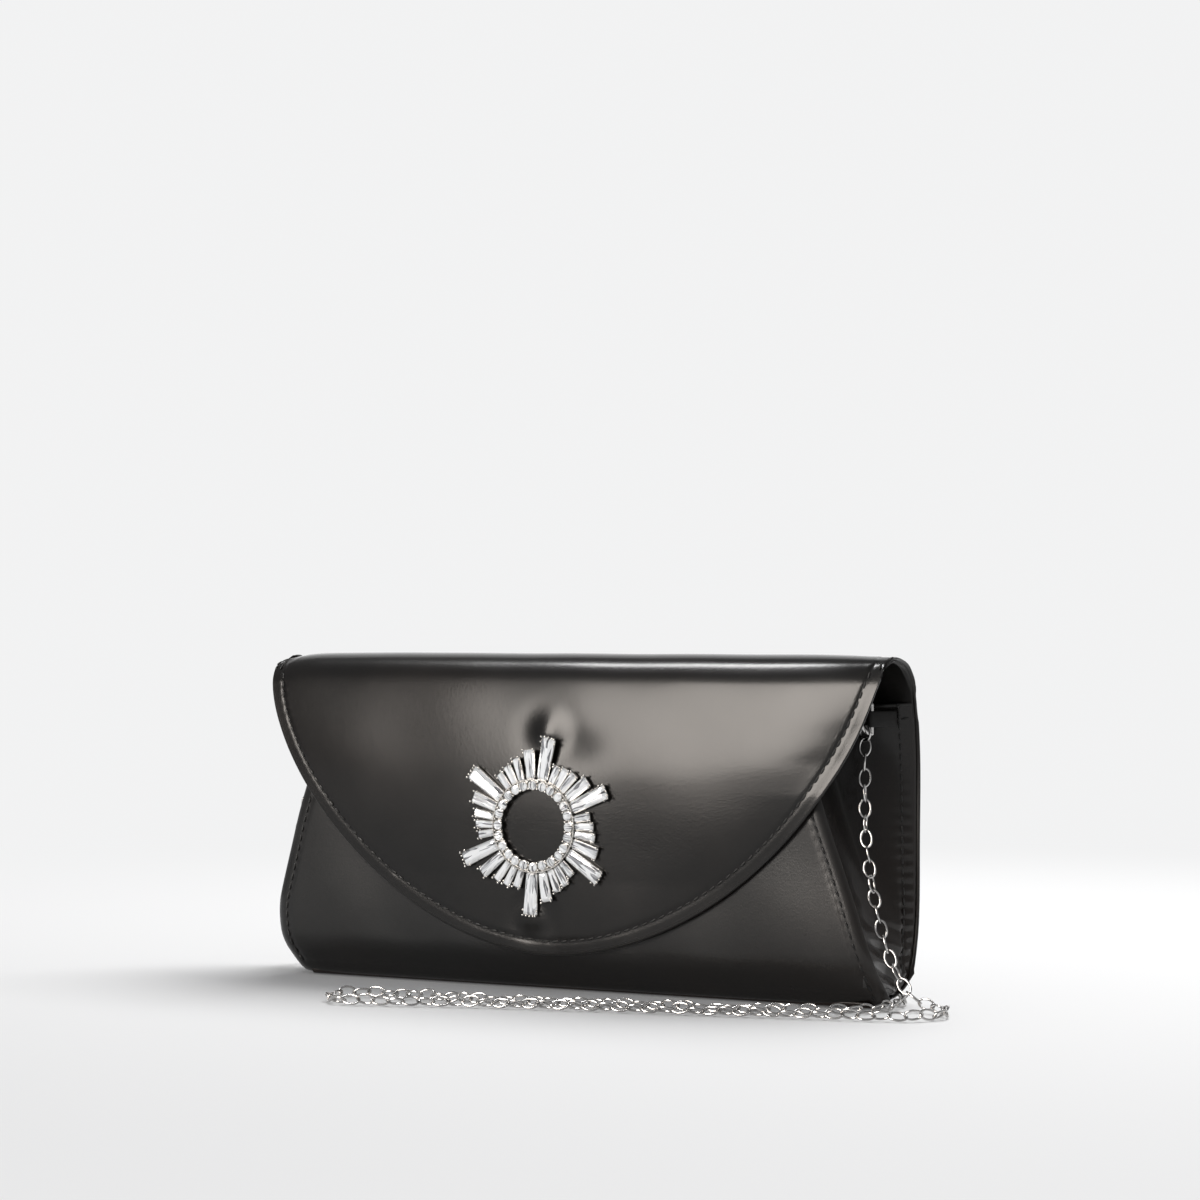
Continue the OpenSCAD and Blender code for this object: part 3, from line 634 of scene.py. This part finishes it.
def gusset(side):
    """The folded sheet at one end, in rows by height that run from the front's seam to the back's."""
    z = np.concatenate([np.linspace(GUSSET_LOW, 30, 34), np.linspace(30, 104.4, 60)[1:]])[:, None]
    t = (0.5 - 0.5 * np.cos(np.linspace(0, math.pi, 61)))[None, :]
    z = np.where(z > 60, 60 + (z - 60) * (39.5 + 3.6 * t ** 1.2) / 44.4, z)
    front_x = front_half(z, side) - 1.2
    front_y = FRONT.depth(np.minimum(z, 99.6)) + 2.3 + (4.5 if side > 0 else 1.0) * np.exp(-(z / 11) ** 2)
    corner = LEFT_CORNER if side < 0 else RIGHT_CORNER
    back_x = WIDTH / 2 - 1.0 - corner + np.sqrt(corner ** 2 - np.clip(corner - z, 0, corner) ** 2)
    back_y = BACK.depth(z, True) - 2.6
    k = np.clip(z / HEIGHT, 0, 1)
    crease = np.clip(1 - np.abs(t - 0.44) / np.where(t < 0.44, 0.44, 0.56), 0, 1)
    fold = 14.0 * k * (0.55 * np.sin(crease * math.pi / 2) + 0.45 * crease ** 1.6)
    x = front_x + (back_x - front_x) * t - fold
    y = front_y + (back_y - front_y) * t + 0.30 * fold
    low = np.exp(-((z - 8) / 20) ** 2)
    near_back = np.exp(-((1 - t) / 0.16) ** 2)
    gather = 0.45 * np.sin(z * 1.55 + 5 * t) * near_back * np.exp(-((z - 30) / 30) ** 2)
    gather += 0.9 * np.sin(z * 0.75 + 7 * t) * low * np.sin(t * math.pi)
    gather += 0.5 * np.sin(9 * t + 0.10 * z) * np.sin(t * math.pi) * np.clip(z / 40, 0, 1)
    ends = np.clip(np.sin(t * math.pi) * 4, 0, 1)
    x = x + gather * ends
    p = np.stack([x, y + 0 * x, z + 0 * x], -1)
    seam = np.exp(-(((1 - t) * np.linalg.norm(p[:, -1:] - p[:, :1], axis=-1) - 5.0) / 1.0) ** 2)
    p[..., 0] -= 0.4 * seam
    if side < 0:
        p = p[:, ::-1] * np.array([-1, 1, 1])
    return p


for side, end in ((-1, "left"), (1, "right")):
    p = gusset(side)
    piece = sheet_of("gusset_" + end, p, 0.9, leather_gusset, lining)
    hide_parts("gusset_back_" + end, "gusset_front_" + end)
    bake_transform(piece)
    seam = stitches(p, lambda q: q[1] > 8 and 8 < q[2] < 103, STITCH_IN, 3.6)
    sew("gusset_stitching_" + end, seam, "shell")

# ---- Tabs: a strip of leather is folded round the bar of each D ring and caught in the side seam ----
leather_tab = leather("leather_tab", (0.0035, 0.0033, 0.0030), 0.55, 0.0)
TAB_LENGTH, TAB_TURN, TAB_THICK, TAB_HIGH = 13.0, 25.0, 2.8, 5.6


def built_up(first, rings, n):
    """The faces of a solid built up of rings of n points, closed at both ends."""
    walls = [(first + r * n + k, first + r * n + (k + 1) % n, first + (r + 1) * n + (k + 1) % n,
              first + (r + 1) * n + k) for r in range(rings - 1) for k in range(n)]
    return walls + [tuple(first + k for k in range(n))[::-1],
                    tuple(first + (rings - 1) * n + k for k in range(n))]


for side, end in ((-1, "left"), (1, "right")):
    low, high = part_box("ring_tab_" + end)
    middle = [(low[k] + high[k]) / 2 / MM for k in range(3)]
    turn = math.radians(TAB_TURN)
    way = np.array([side * -math.sin(turn), -math.cos(turn)])
    sideways = np.array([-way[1], way[0]])
    loop = []
    long = TAB_LENGTH / 2 - TAB_THICK / 2
    for a in np.linspace(0, 2 * math.pi, 40, endpoint=False):
        u = (long if math.cos(a) > 0 else -long) + TAB_THICK / 2 * math.cos(a)
        loop.append((u, TAB_THICK / 2 * math.sin(a)))
    verts = []
    levels = [(-0.5, 0.72), (-0.47, 0.93), (-0.40, 1.0), (0.40, 1.0), (0.47, 0.93), (0.5, 0.72)]
    for level, swell in levels:
        for u, v in loop:
            q = np.array(middle[:2]) + way * u + sideways * v * swell
            verts.append((q[0] * MM, q[1] * MM, (middle[2] + level * TAB_HIGH) * MM))
    mesh = bpy.data.meshes.new("tab_" + end)
    mesh.from_pydata(verts, [], built_up(0, len(levels), len(loop)))
    mesh.attributes.new("edge", "FLOAT", "POINT").data.foreach_set("value", [3.0] * len(verts))
    mesh.materials.append(leather_tab)
    for polygon in mesh.polygons:
        polygon.use_smooth = len(polygon.vertices) == 4
    piece = bpy.data.objects.new("tab_" + end, mesh)
    bpy.context.scene.collection.objects.link(piece)
    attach(piece, "shell")
    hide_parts("ring_tab_" + end)

# ---- Pocket: satin lining on both panels, leather bands at the mouth, and a slip pocket at the back ----
# The lining hangs a little loose from the bands, and the slip pocket is sewn to it on three sides.
def lined(name, p, thick, material, body, *nodes, slot="lining"):
    """A sheet of the pocket, which stands for its CAD nodes."""
    piece = sheet_of(name, p, thick, material, rim=4)
    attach(piece, body)
    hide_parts(*nodes)


def inner_grid(profile, half, low, high, depth, falling, seed, slack, columns=61, rows=44):
    """A sheet at a set distance inside a panel, seen from the pocket."""
    side = np.linspace(-1, 1, columns)
    z = np.linspace(low, high, rows)[:, None]
    s = profile.when(z, falling) * np.ones((1, columns))
    out = profile.outward(s)
    yz = profile.at(s)
    x = side[None, :] * (half(z, side[None, :]) if callable(half) else half) * np.ones_like(s)
    held = np.clip(np.minimum(1 - np.abs(side)[None, :], 0.25) * 4, 0, 1) * np.clip((high - z) / 14, 0, 1)
    loose = (0.5 + 0.5 * soft_waves(x, z, seed, 1.0)) * slack * held
    place = yz - out * (depth + np.clip(loose, 0, None))[..., None]
    p = np.stack([x, place[..., 0], place[..., 1]], -1)
    return p[:, ::-1] if not falling else p


leather_band = leather("leather_band", (0.0060, 0.0057, 0.0053), 0.36, 0.3)
p = inner_grid(BACK, 116.0, 9.0, 99.0, 1.9, True, 21, 0.7)
lined("back_lining_cloth", p, 0.5, lining, "shell", "back_lining")
p = inner_grid(BACK, 110.0, 84.5, 99.8, 2.75, True, 5, 0.1, 61, 14)
lined("back_band", p, 0.8, leather_band, "shell", "back_facing", slot="leather")
seam = stitches(p[::-1, :] - np.array([0, 0.85, 0]), lambda q: q[2] < 86, 1.6)
sew("back_band_stitching", [(spot, along, -out) for spot, along, out in seam], "shell")
p = inner_grid(BACK, 65.0, 43.5, 74.0, 2.9, True, 31, 0.6, 41, 24)
lined("slip_pocket_cloth", p, 0.5, lining, "shell", "slip_pocket")
p = inner_grid(FRONT, lambda z, side: front_half(z, side) - 5, 7.0, 98.6, 1.95, False, 41, 0.5)
lined("front_lining_cloth", p, 0.5, lining, "front", "front_lining")
p = inner_grid(FRONT, lambda z, side: front_half(z, side) - 8.5, 84.0, 98.9, 2.6, False, 5, 0.05, 61, 14)
lined("front_band", p, 0.8, leather_band, "front", "front_facing", slot="leather")

# ---- Flap: the leather of the back comes over the top and down the front, to a round lower edge ----
# It is stiffened with board and faced with leather, and sewn all round just inside its turned edge.
FLAP_TIP = 13.5
FLAP = Profile([(-16.0, 9.5), (-16.1, 30.0), (-16.1, 50.0), (-16.0, 67.2), (-15.2, 84.0), (-13.3, 98.4),
                (-10.2, 109.2), (-6.4, 115.8), (-2.4, 119.1), (2.4, 120.2), (8.0, 119.8), (13.4, 118.2),
                (18.1, 114.9), (21.2, 110.9), (23.1, 106.0), (24.2, 100.8), (25.0, 96.6)])
BROOCH = np.array([-5.0, -16.15, 59.0])
# Round marks that fixings press up in the leather: the place, the height, the width and the dip round it
FLAP_MARKS = (((-1.0, 92.5), 1.25, 4.9, 0.10), ((-7.0, 26.0), 0.55, 3.4, 0.30))


def flap_low(x, half):
    """The height of the flap's lower edge at a distance from the middle."""
    share = np.clip(np.abs(x) / half, 0, 1)
    return FLAP_TIP + (HEIGHT - FLAP_TIP) * (1 - (1 - share ** (1 / 0.535)) ** (1 / 1.6))


def flap_grid(margin, inward, end):
    """The flap's sheet, in columns that run from its lower edge over the top to the back."""
    half = WIDTH / 2 - margin
    x = spread(181, half)
    start = FLAP.when(flap_low(x, half) + margin)
    long = end - start
    rows = np.arange(12)[:, None] * 0.9
    more = np.linspace(0, 1, 100)[1:, None]
    s = np.concatenate([np.broadcast_to(start[None, :] + rows, (12, len(x))),
                        start[None, :] + rows[-1] + (long - rows[-1])[None, :] * more])
    edge = np.stack([x, start], 1)
    sides = np.linspace(start[0], end, 60)
    for column in (x[0], x[-1]):
        edge = np.concatenate([edge, np.stack([column + 0 * sides, sides], 1)])
    flat = np.stack([np.broadcast_to(x, s.shape).ravel(), s.ravel()], 1)
    far = np.full(len(flat), 1e9)
    for k in range(0, len(edge), 40):
        far = np.minimum(far, np.linalg.norm(flat[:, None] - edge[None, k:k + 40], axis=2).min(1))
    far = far.reshape(s.shape)
    yz, out = FLAP.at(s), FLAP.outward(s)
    x = np.broadcast_to(x, s.shape)
    z = yz[..., 1]
    front = yz[..., 0] < 0
    sides = np.clip((np.abs(x) - 20) / 45, 0, 1)
    curl = np.interp(z, [13, 62, 72, 84, 95, 105, 115, 120], [1.8, 1.9, 1.9, 3.1, 3.2, 2.5, 2.0, 0.9])
    curl = np.where(front & (x > 0), curl, 0.9) * (0.4 + 0.6 * sides ** 2 * (3 - 2 * sides))
    fall = curl * np.exp(-(far / 13.0) ** 1.5)
    fall += np.where(x < 0, 1.0, 0) * np.exp(-(far / 7.0) ** 1.5) * np.clip((z - 110) / 8, 0, 1)
    drawn_in = np.where(x < 0, 4.8, 0) * np.clip((z - 115) / 5.2, 0, 1) ** 2 * (np.abs(x) / half) ** 6
    around = np.hypot(x - BROOCH[0], z - BROOCH[2])
    dome = np.where(front, 1.0 - np.exp(-(around / 42) ** 2), 1.0) * np.clip((z - 20) / 20, 0, 1)
    dome = dome * np.exp(-(np.clip(z - 90, 0, None) / 18) ** 2) * np.where(front, 1, 0)
    calm = 1 - 0.85 * np.exp(-(around / 30) ** 2)
    waves = soft_waves(x, z, 17, 0.08) * calm * np.clip(far / 12, 0, 1)
    depth = fall + 0.7 * dome + waves + inward(far)
    for at, tall, wide, ring in FLAP_MARKS if margin == 0 else ():
        r = np.where(front, np.hypot(x - at[0], z - at[1]), 99)
        dip = ring * np.exp(-((r - 1.9 * wide) / (0.9 * wide)) ** 2)
        depth = depth - tall * np.exp(-(r / wide) ** 2) + dip
    r = np.where(front, np.hypot((x - 8) / 1.5, z - 88), 99)
    depth = depth + 0.55 * np.exp(-(r / 7) ** 2)
    place = yz - out * depth[..., None]
    return np.stack([x + drawn_in, place[..., 0], place[..., 1]], -1)


FLAP_STITCH_IN = 4.6
leather_flap = leather("leather_flap", (0.0062, 0.0057, 0.0051), 0.245, 0.45)
flap_face = sewn(flap_grid(0.0, lambda far: 0.0, FLAP.length), 0.17, 0.09, FLAP_STITCH_IN)
flap_skin = sheet_of("flap_skin", flap_face, 1.0, leather_flap)
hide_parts("flap_leather", "flap_board")
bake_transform(flap_skin)
flap_under = flap_grid(0.8, lambda far: 1.08 + 0.7 * np.clip(far / 9, 0, 1), float(FLAP.when(99.0, True)))
flap_facing = sheet_of("flap_facing", flap_under, 0.6, leather_band, leather_band)
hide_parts("flap_lining")
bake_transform(flap_facing)
seam = stitches(flap_face, lambda q: True, FLAP_STITCH_IN)
moving = [place for place in seam if place[0][1] < 0.012 or place[0][2] > 0.1145]
sew("flap_stitching", moving, "flap", "flap_thread")

# ---- Magnetic snap: a plated disc with a post on the flap, and its socket on the front ----
# Both are riveted through the leather to a plate on the far side.
snap_plate = plated("snap_plate", (0.60, 0.59, 0.57), 0.40, 900.0)
for part in ("snap_stud", "snap_socket", "snap_stud_plate", "snap_socket_plate"):
    dress(part, snap_plate)

# ---- Brooch: a cast sunburst, plated and riveted to the flap, set with clear cut crystals ----
# A ring of round stones in cups, six long tapered baguettes, and fans of shorter ones between them.
cast_metal = plated("cast_metal", (0.50, 0.49, 0.47), 0.20, 1800.0)
RING_RADIUS, RING_WIDTH, RAY_START = 14.5, 4.4, 16.8
ROUND_COUNT, ROUND_SIZE = 24, 3.2
LONG_TURNS = (11, 66, 124, 183, 246, 306)
FAN = ((14.5, 6.4, 2.9), (24.0, 7.2, 2.9), (33.5, 8.0, 3.0), (45.5, 10.6, 4.3))
LONG = (15.0, 5.4)


def crystal_paint(nodes, coords):
    """Crystal with painted reflections: bright and dark glints painted into the colour in narrow bands that
    run out from the ring's middle, and the same pattern given as a faint painted glow.
    """
    away = nodes.vector("SUBTRACT", coords, tuple(BROOCH * MM))
    split = [nodes.put("ShaderNodeSeparateXYZ", None, {0: away}, k) for k in (0, 2)]
    turn = nodes.put("ShaderNodeMath", {"operation": "ARCTAN2"}, {0: split[0], 1: split[1]})
    radius = (split[0] * split[0] + split[1] * split[1]) ** 0.5
    place = nodes.put("ShaderNodeCombineXYZ", None, {0: turn * 34.0, 1: radius * 210.0, 2: 0.0})
    flash = nodes.put("ShaderNodeTexVoronoi", {"feature": "F1"},
                      {"Vector": place, "Scale": 1.0, "Randomness": 1.0}, 1)
    grey = nodes.put("ShaderNodeSeparateColor", None, {0: flash})
    # Painted reflections: the bright and dark facet glints are painted into the base colour.
    painted_glints = nodes.put("ShaderNodeValToRGB", {"stops": [(0.0, (0.05, 0.05, 0.055)), (0.16, (0.20, 0.20, 0.21)),
                                                      (0.30, (0.70, 0.71, 0.72)), (0.48, (0.97, 0.97, 0.97)),
                                                      (1.0, (1.0, 1.0, 1.0))]}, {0: grey})
    cloud = nodes.noise(coords, 900.0, 2.0)
    return {"Base Color": nodes.mix(nodes.ramp(cloud, 0.35, 0.75, 0.0, 0.25), painted_glints, (0.86, 0.88, 0.92, 1)),
            "Roughness": 0.05 + 0.10 * cloud, "Emission Color": painted_glints}


# Painted glow: the stones are given the same glint pattern as emission, so they glow faintly though they are
# no lamp.
crystal = surface("clear_crystal", crystal_paint,
                  {"Metallic": 0.25, "IOR": 1.6, "Coat Weight": 1.0, "Coat Roughness": 0.02,
                   "Coat IOR": 1.7, "Emission Strength": 0.24})


def on_brooch(turn, across, along, out, lean=0.0):
    """A point on the brooch: turned clockwise from the top, then across and along the ray, and out."""
    a = math.radians(turn)
    out = out + across * math.sin(lean)
    across = across * math.cos(lean)
    x = math.sin(a) * along + math.cos(a) * across
    z = math.cos(a) * along - math.sin(a) * across
    return ((BROOCH[0] + x) * MM, (BROOCH[1] - out) * MM, (BROOCH[2] + z) * MM)


def cut_corners(length, width, grow):
    """A tapered baguette's outline with its corners cut, wider at the outer end."""
    narrow, wide, cut = 0.40 * width + grow, 0.5 * width + grow, 0.10 * width
    low, high = -grow, length + grow
    return [(-narrow + cut, low), (narrow - cut, low), (narrow, low + cut), (wide, high - cut),
            (wide - cut, high), (-wide + cut, high), (-wide, high - cut), (-narrow, low + cut)]


def cut_levels(length, width, *steps):
    """A ray's outlines, one for each height, each grown or shrunk a little."""
    return [(height, cut_corners(length, width, grow)) for height, grow in steps]


def stacked(name, jobs, material):
    """Solids built up in levels. A job is a turn, a lean and the levels of one ray."""
    verts, faces = [], []
    for turn, lean, levels in jobs:
        faces += built_up(len(verts), len(levels), len(levels[0][1]))
        for height, outline in levels:
            verts += [on_brooch(turn, u, RAY_START + v, height, lean) for u, v in outline]
    mesh = bpy.data.meshes.new(name)
    mesh.from_pydata(verts, [], faces)
    mesh.materials.append(material)
    piece = bpy.data.objects.new(name, mesh)
    bpy.context.scene.collection.objects.link(piece)
    return piece


chance = np.random.default_rng(5)
rays = {"long": [], "medium": [], "short": []}
for n, turn in enumerate(LONG_TURNS):
    following = LONG_TURNS[(n + 1) % 6] + (360 if n == 5 else 0)
    room = (following - turn) / 60
    rays["long"].append((turn, *LONG))
    for k, (offset, length, width) in enumerate(FAN):
        kind = "medium" if k == 3 else "short"
        rays[kind].append((turn + offset * room, length * chance.uniform(0.96, 1.05), width))
trays, prongs = [], []
stones = {"long": [], "medium": [], "short": []}
for kind, group in rays.items():
    for turn, length, width in group:
        lean = math.radians(chance.uniform(-5, 5))
        trays.append((turn, lean * 0.4,
                      cut_levels(length, width, (0.0, -0.1), (0.15, 0.14), (0.95, 0.16), (1.1, 0.04))))
        tall = 2.35 if kind == "long" else 2.2
        inset = 0.2 * width
        stones[kind].append((turn, lean,
                             cut_levels(length, width, (0.75, -0.12), (1.2, -0.05),
                                        (tall - 0.35, -0.5 * inset - 0.05), (tall, -inset - 0.12))))
        tips = [(-0.5 * width + 0.1, length + 0.15), (0.5 * width - 0.1, length + 0.15)]
        if kind == "long":
            tips += [(0.0, length + 0.35), (-0.5 * width - 0.15, length - 1.7),
                     (0.5 * width + 0.15, length - 1.7), (-0.27 * width, length + 0.3),
                     (0.27 * width, length + 0.3)]
        else:
            tips += [(-0.5 * width - 0.05, length - 0.9), (0.5 * width + 0.05, length - 0.9)]
        prongs += [(on_brooch(turn, u, RAY_START + v, tall - 0.45 - 0.5 * (k > 1)), (1, 0, 0), (0, 0, 1))
                   for k, (u, v) in enumerate(tips)]

setting = stacked("brooch_setting", trays, cast_metal)
verts, faces = [], []
half = RING_WIDTH / 2
section = [(-half + 1.1, 0.0), (-half + 1.1, 1.1), (half - 0.45, 1.2), (half - 0.35, 2.05),
           (half - 0.05, 2.05), (half + 0.1, 0.9), (half, 0.0)]
RING_STEPS = 120
n = len(section)
for k in range(RING_STEPS):
    verts += [on_brooch(360 * k / RING_STEPS, 0, RING_RADIUS + u, w) for u, w in section]
    here, there = k * n, (k + 1) % RING_STEPS * n
    faces += [(here + j, there + j, there + (j + 1) % n, here + (j + 1) % n) for j in range(n)]
mesh = bpy.data.meshes.new("brooch_ring")
mesh.from_pydata(verts, [], faces)
mesh.materials.append(cast_metal)
band = bpy.data.objects.new("brooch_ring", mesh)
bpy.context.scene.collection.objects.link(band)


def cup(nodes, size):
    """A plain round cup for one stone."""
    return nodes.put("GeometryNodeMeshCylinder", {"fill_type": "NGON"},
                     {"Vertices": 18, "Radius": size["Stone"] * 0.54, "Depth": size["Stone"] * 0.34})


def brilliant(nodes, size):
    """A round stone: a low girdle, eight crown facets and a flat table."""
    crown = nodes.put("GeometryNodeMeshCone", {"fill_type": "NGON"},
                      {"Vertices": 8, "Radius Top": size["Stone"] * 0.27,
                       "Radius Bottom": size["Stone"] * 0.49, "Depth": size["Stone"] * 0.20})
    girdle = nodes.put("GeometryNodeMeshCylinder", {"fill_type": "NGON"},
                       {"Vertices": 8, "Radius": size["Stone"] * 0.49, "Depth": size["Stone"] * 0.14})
    low = nodes.put("GeometryNodeTransform", None, {"Geometry": girdle, "Translation": (0, 0, -0.0001)})
    both = nodes.put("GeometryNodeJoinGeometry", None, {0: crown})
    nodes.tree.links.new(low.socket, both.socket.node.inputs[0])
    return both


def ball(nodes, size):
    """A prong's rounded tip."""
    tip = nodes.put("GeometryNodeMeshIcoSphere", None, {"Radius": size["Prong"] * 0.5, "Subdivisions": 2})
    return smooth_faces(nodes, tip)


around = []
for k in range(ROUND_COUNT):
    turn = 360 * (k + chance.uniform(-0.08, 0.08)) / ROUND_COUNT
    spin = chance.uniform(0, 6.3)
    around.append((turn, RING_RADIUS + chance.uniform(-0.15, 0.15), (math.cos(spin), 0, math.sin(spin)),
                   (0.07 * chance.uniform(-1, 1), -1, 0.07 * chance.uniform(-1, 1))))
cup_places = [(on_brooch(turn, 0, r, 1.45), along, (0, -1, 0)) for turn, r, along, out in around]
cups = repeated("brooch_cups", cup, {"Stone": ROUND_SIZE * MM}, cup_places, cast_metal)
stone_places = [(on_brooch(turn, 0, r, 2.25), along, out) for turn, r, along, out in around]
round_stones = repeated("round_stones", brilliant, {"Stone": ROUND_SIZE * MM}, stone_places, crystal)
grips = [(on_brooch(360 * (k + 0.5) / ROUND_COUNT, 0, RING_RADIUS + r, 2.0), (1, 0, 0), (0, 0, 1))
         for k in range(ROUND_COUNT) for r in (-1.25, 1.3)]
tips = repeated("brooch_tips", ball, {"Prong": 0.00095}, prongs + grips, cast_metal)
brooch_pieces = [(setting, "brooch_frame", "brooch_metal"), (band, None, "brooch_metal"),
                 (cups, None, "brooch_metal"), (tips, "brooch_prongs", "brooch_metal"),
                 (round_stones, "brooch_round_stones", "crystal")]
for kind, jobs in stones.items():
    name = kind + "_stones"
    brooch_pieces.append((stacked(name, jobs, crystal), "brooch_" + name, "crystal"))
for piece, node, slot in brooch_pieces:
    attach(piece, "flap")
    if node:
        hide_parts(node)
for part in ("brooch_rivets", "brooch_washers"):
    dress(part, cast_metal)

# ---- Table and light: a plain pale floor that runs into the background, and large soft lamps ----
ROOM = (0.888, 0.890, 0.893)
DIM = (0.32, 0.32, 0.325)
world = bpy.data.worlds.new("room")
bpy.context.scene.world = world
world.use_nodes = True
nodes = Nodes(world.node_tree)
seen = nodes.put("ShaderNodeLightPath")
plain = nodes.put("ShaderNodeBackground", None, {0: nodes.mix(seen, (*DIM, 1), (*ROOM, 1))})
nodes.put("ShaderNodeOutputWorld", None, {0: plain})


def floor_material():
    """A pale matt floor that turns into the plain background with distance."""
    material = bpy.data.materials.new("pale_floor")
    material.use_nodes = True
    nodes = Nodes(material.node_tree)
    coords = nodes.put("ShaderNodeTexCoord", out=3)
    away = nodes.vector("LENGTH", coords, (0, 0, 0), 1)
    near = nodes.put("ShaderNodeBsdfDiffuse", None, {"Color": (0.83, 0.83, 0.83, 1)})
    far = nodes.put("ShaderNodeEmission", None, {"Color": (*ROOM, 1), "Strength": 1.0})
    both = nodes.put("ShaderNodeMixShader", None, {0: nodes.ramp(away, 0.2, 0.8, 0.1, 1.0), 1: near, 2: far})
    nodes.put("ShaderNodeOutputMaterial", None, {"Surface": both})
    return material


FLOOR_HALF, FLOOR_LEVEL = 30, -0.0002
mesh = bpy.data.meshes.new("floor")
corners = [(FLOOR_HALF * i, FLOOR_HALF * j, FLOOR_LEVEL) for i, j in ((-1, -1), (1, -1), (1, 1), (-1, 1))]
mesh.from_pydata(corners, [], [(0, 1, 2, 3)])
mesh.materials.append(floor_material())
floor = bpy.data.objects.new("floor", mesh)
bpy.context.scene.collection.objects.link(floor)


WARM, PLAIN = (1.0, 0.93, 0.86), (1.0, 1.0, 1.0)


def lamp(name, turn, rise, away, size, strength, colour, gloss_only=True):
    """A soft rectangular lamp, aimed at the bag from a direction: turned from the front, and raised."""
    light = bpy.data.lights.new(name, "AREA")
    light.shape = "RECTANGLE"
    light.size, light.size_y = size
    light.color = colour
    light.energy = strength * size[0] * size[1] * math.pi
    turn, rise = math.radians(turn), math.radians(rise)
    spot = Vector((math.sin(turn) * math.cos(rise), -math.cos(turn) * math.cos(rise), math.sin(rise))) * away
    holder = bpy.data.objects.new(name, light)
    holder.location = Vector((0, 0, 0.06)) + spot
    holder.rotation_euler = (-spot).to_track_quat("-Z", "Y").to_euler()
    holder.visible_camera = False
    holder.visible_diffuse = not gloss_only
    holder.visible_glossy = gloss_only
    bpy.context.scene.collection.objects.link(holder)
    return holder


lamp("front_window", -17.5, 22.5, 1.6, (0.78, 1.14), 16.5, WARM)
lamp("top_strip", -70, 67.0, 1.15, (0.15, 0.27), 42, PLAIN)
lamp("back_wall", -151, 27, 1.5, (2.4, 1.5), 0.95, PLAIN)
lamp("overhead", 165, 60, 1.8, (1.5, 1.1), 7.1, PLAIN, False)
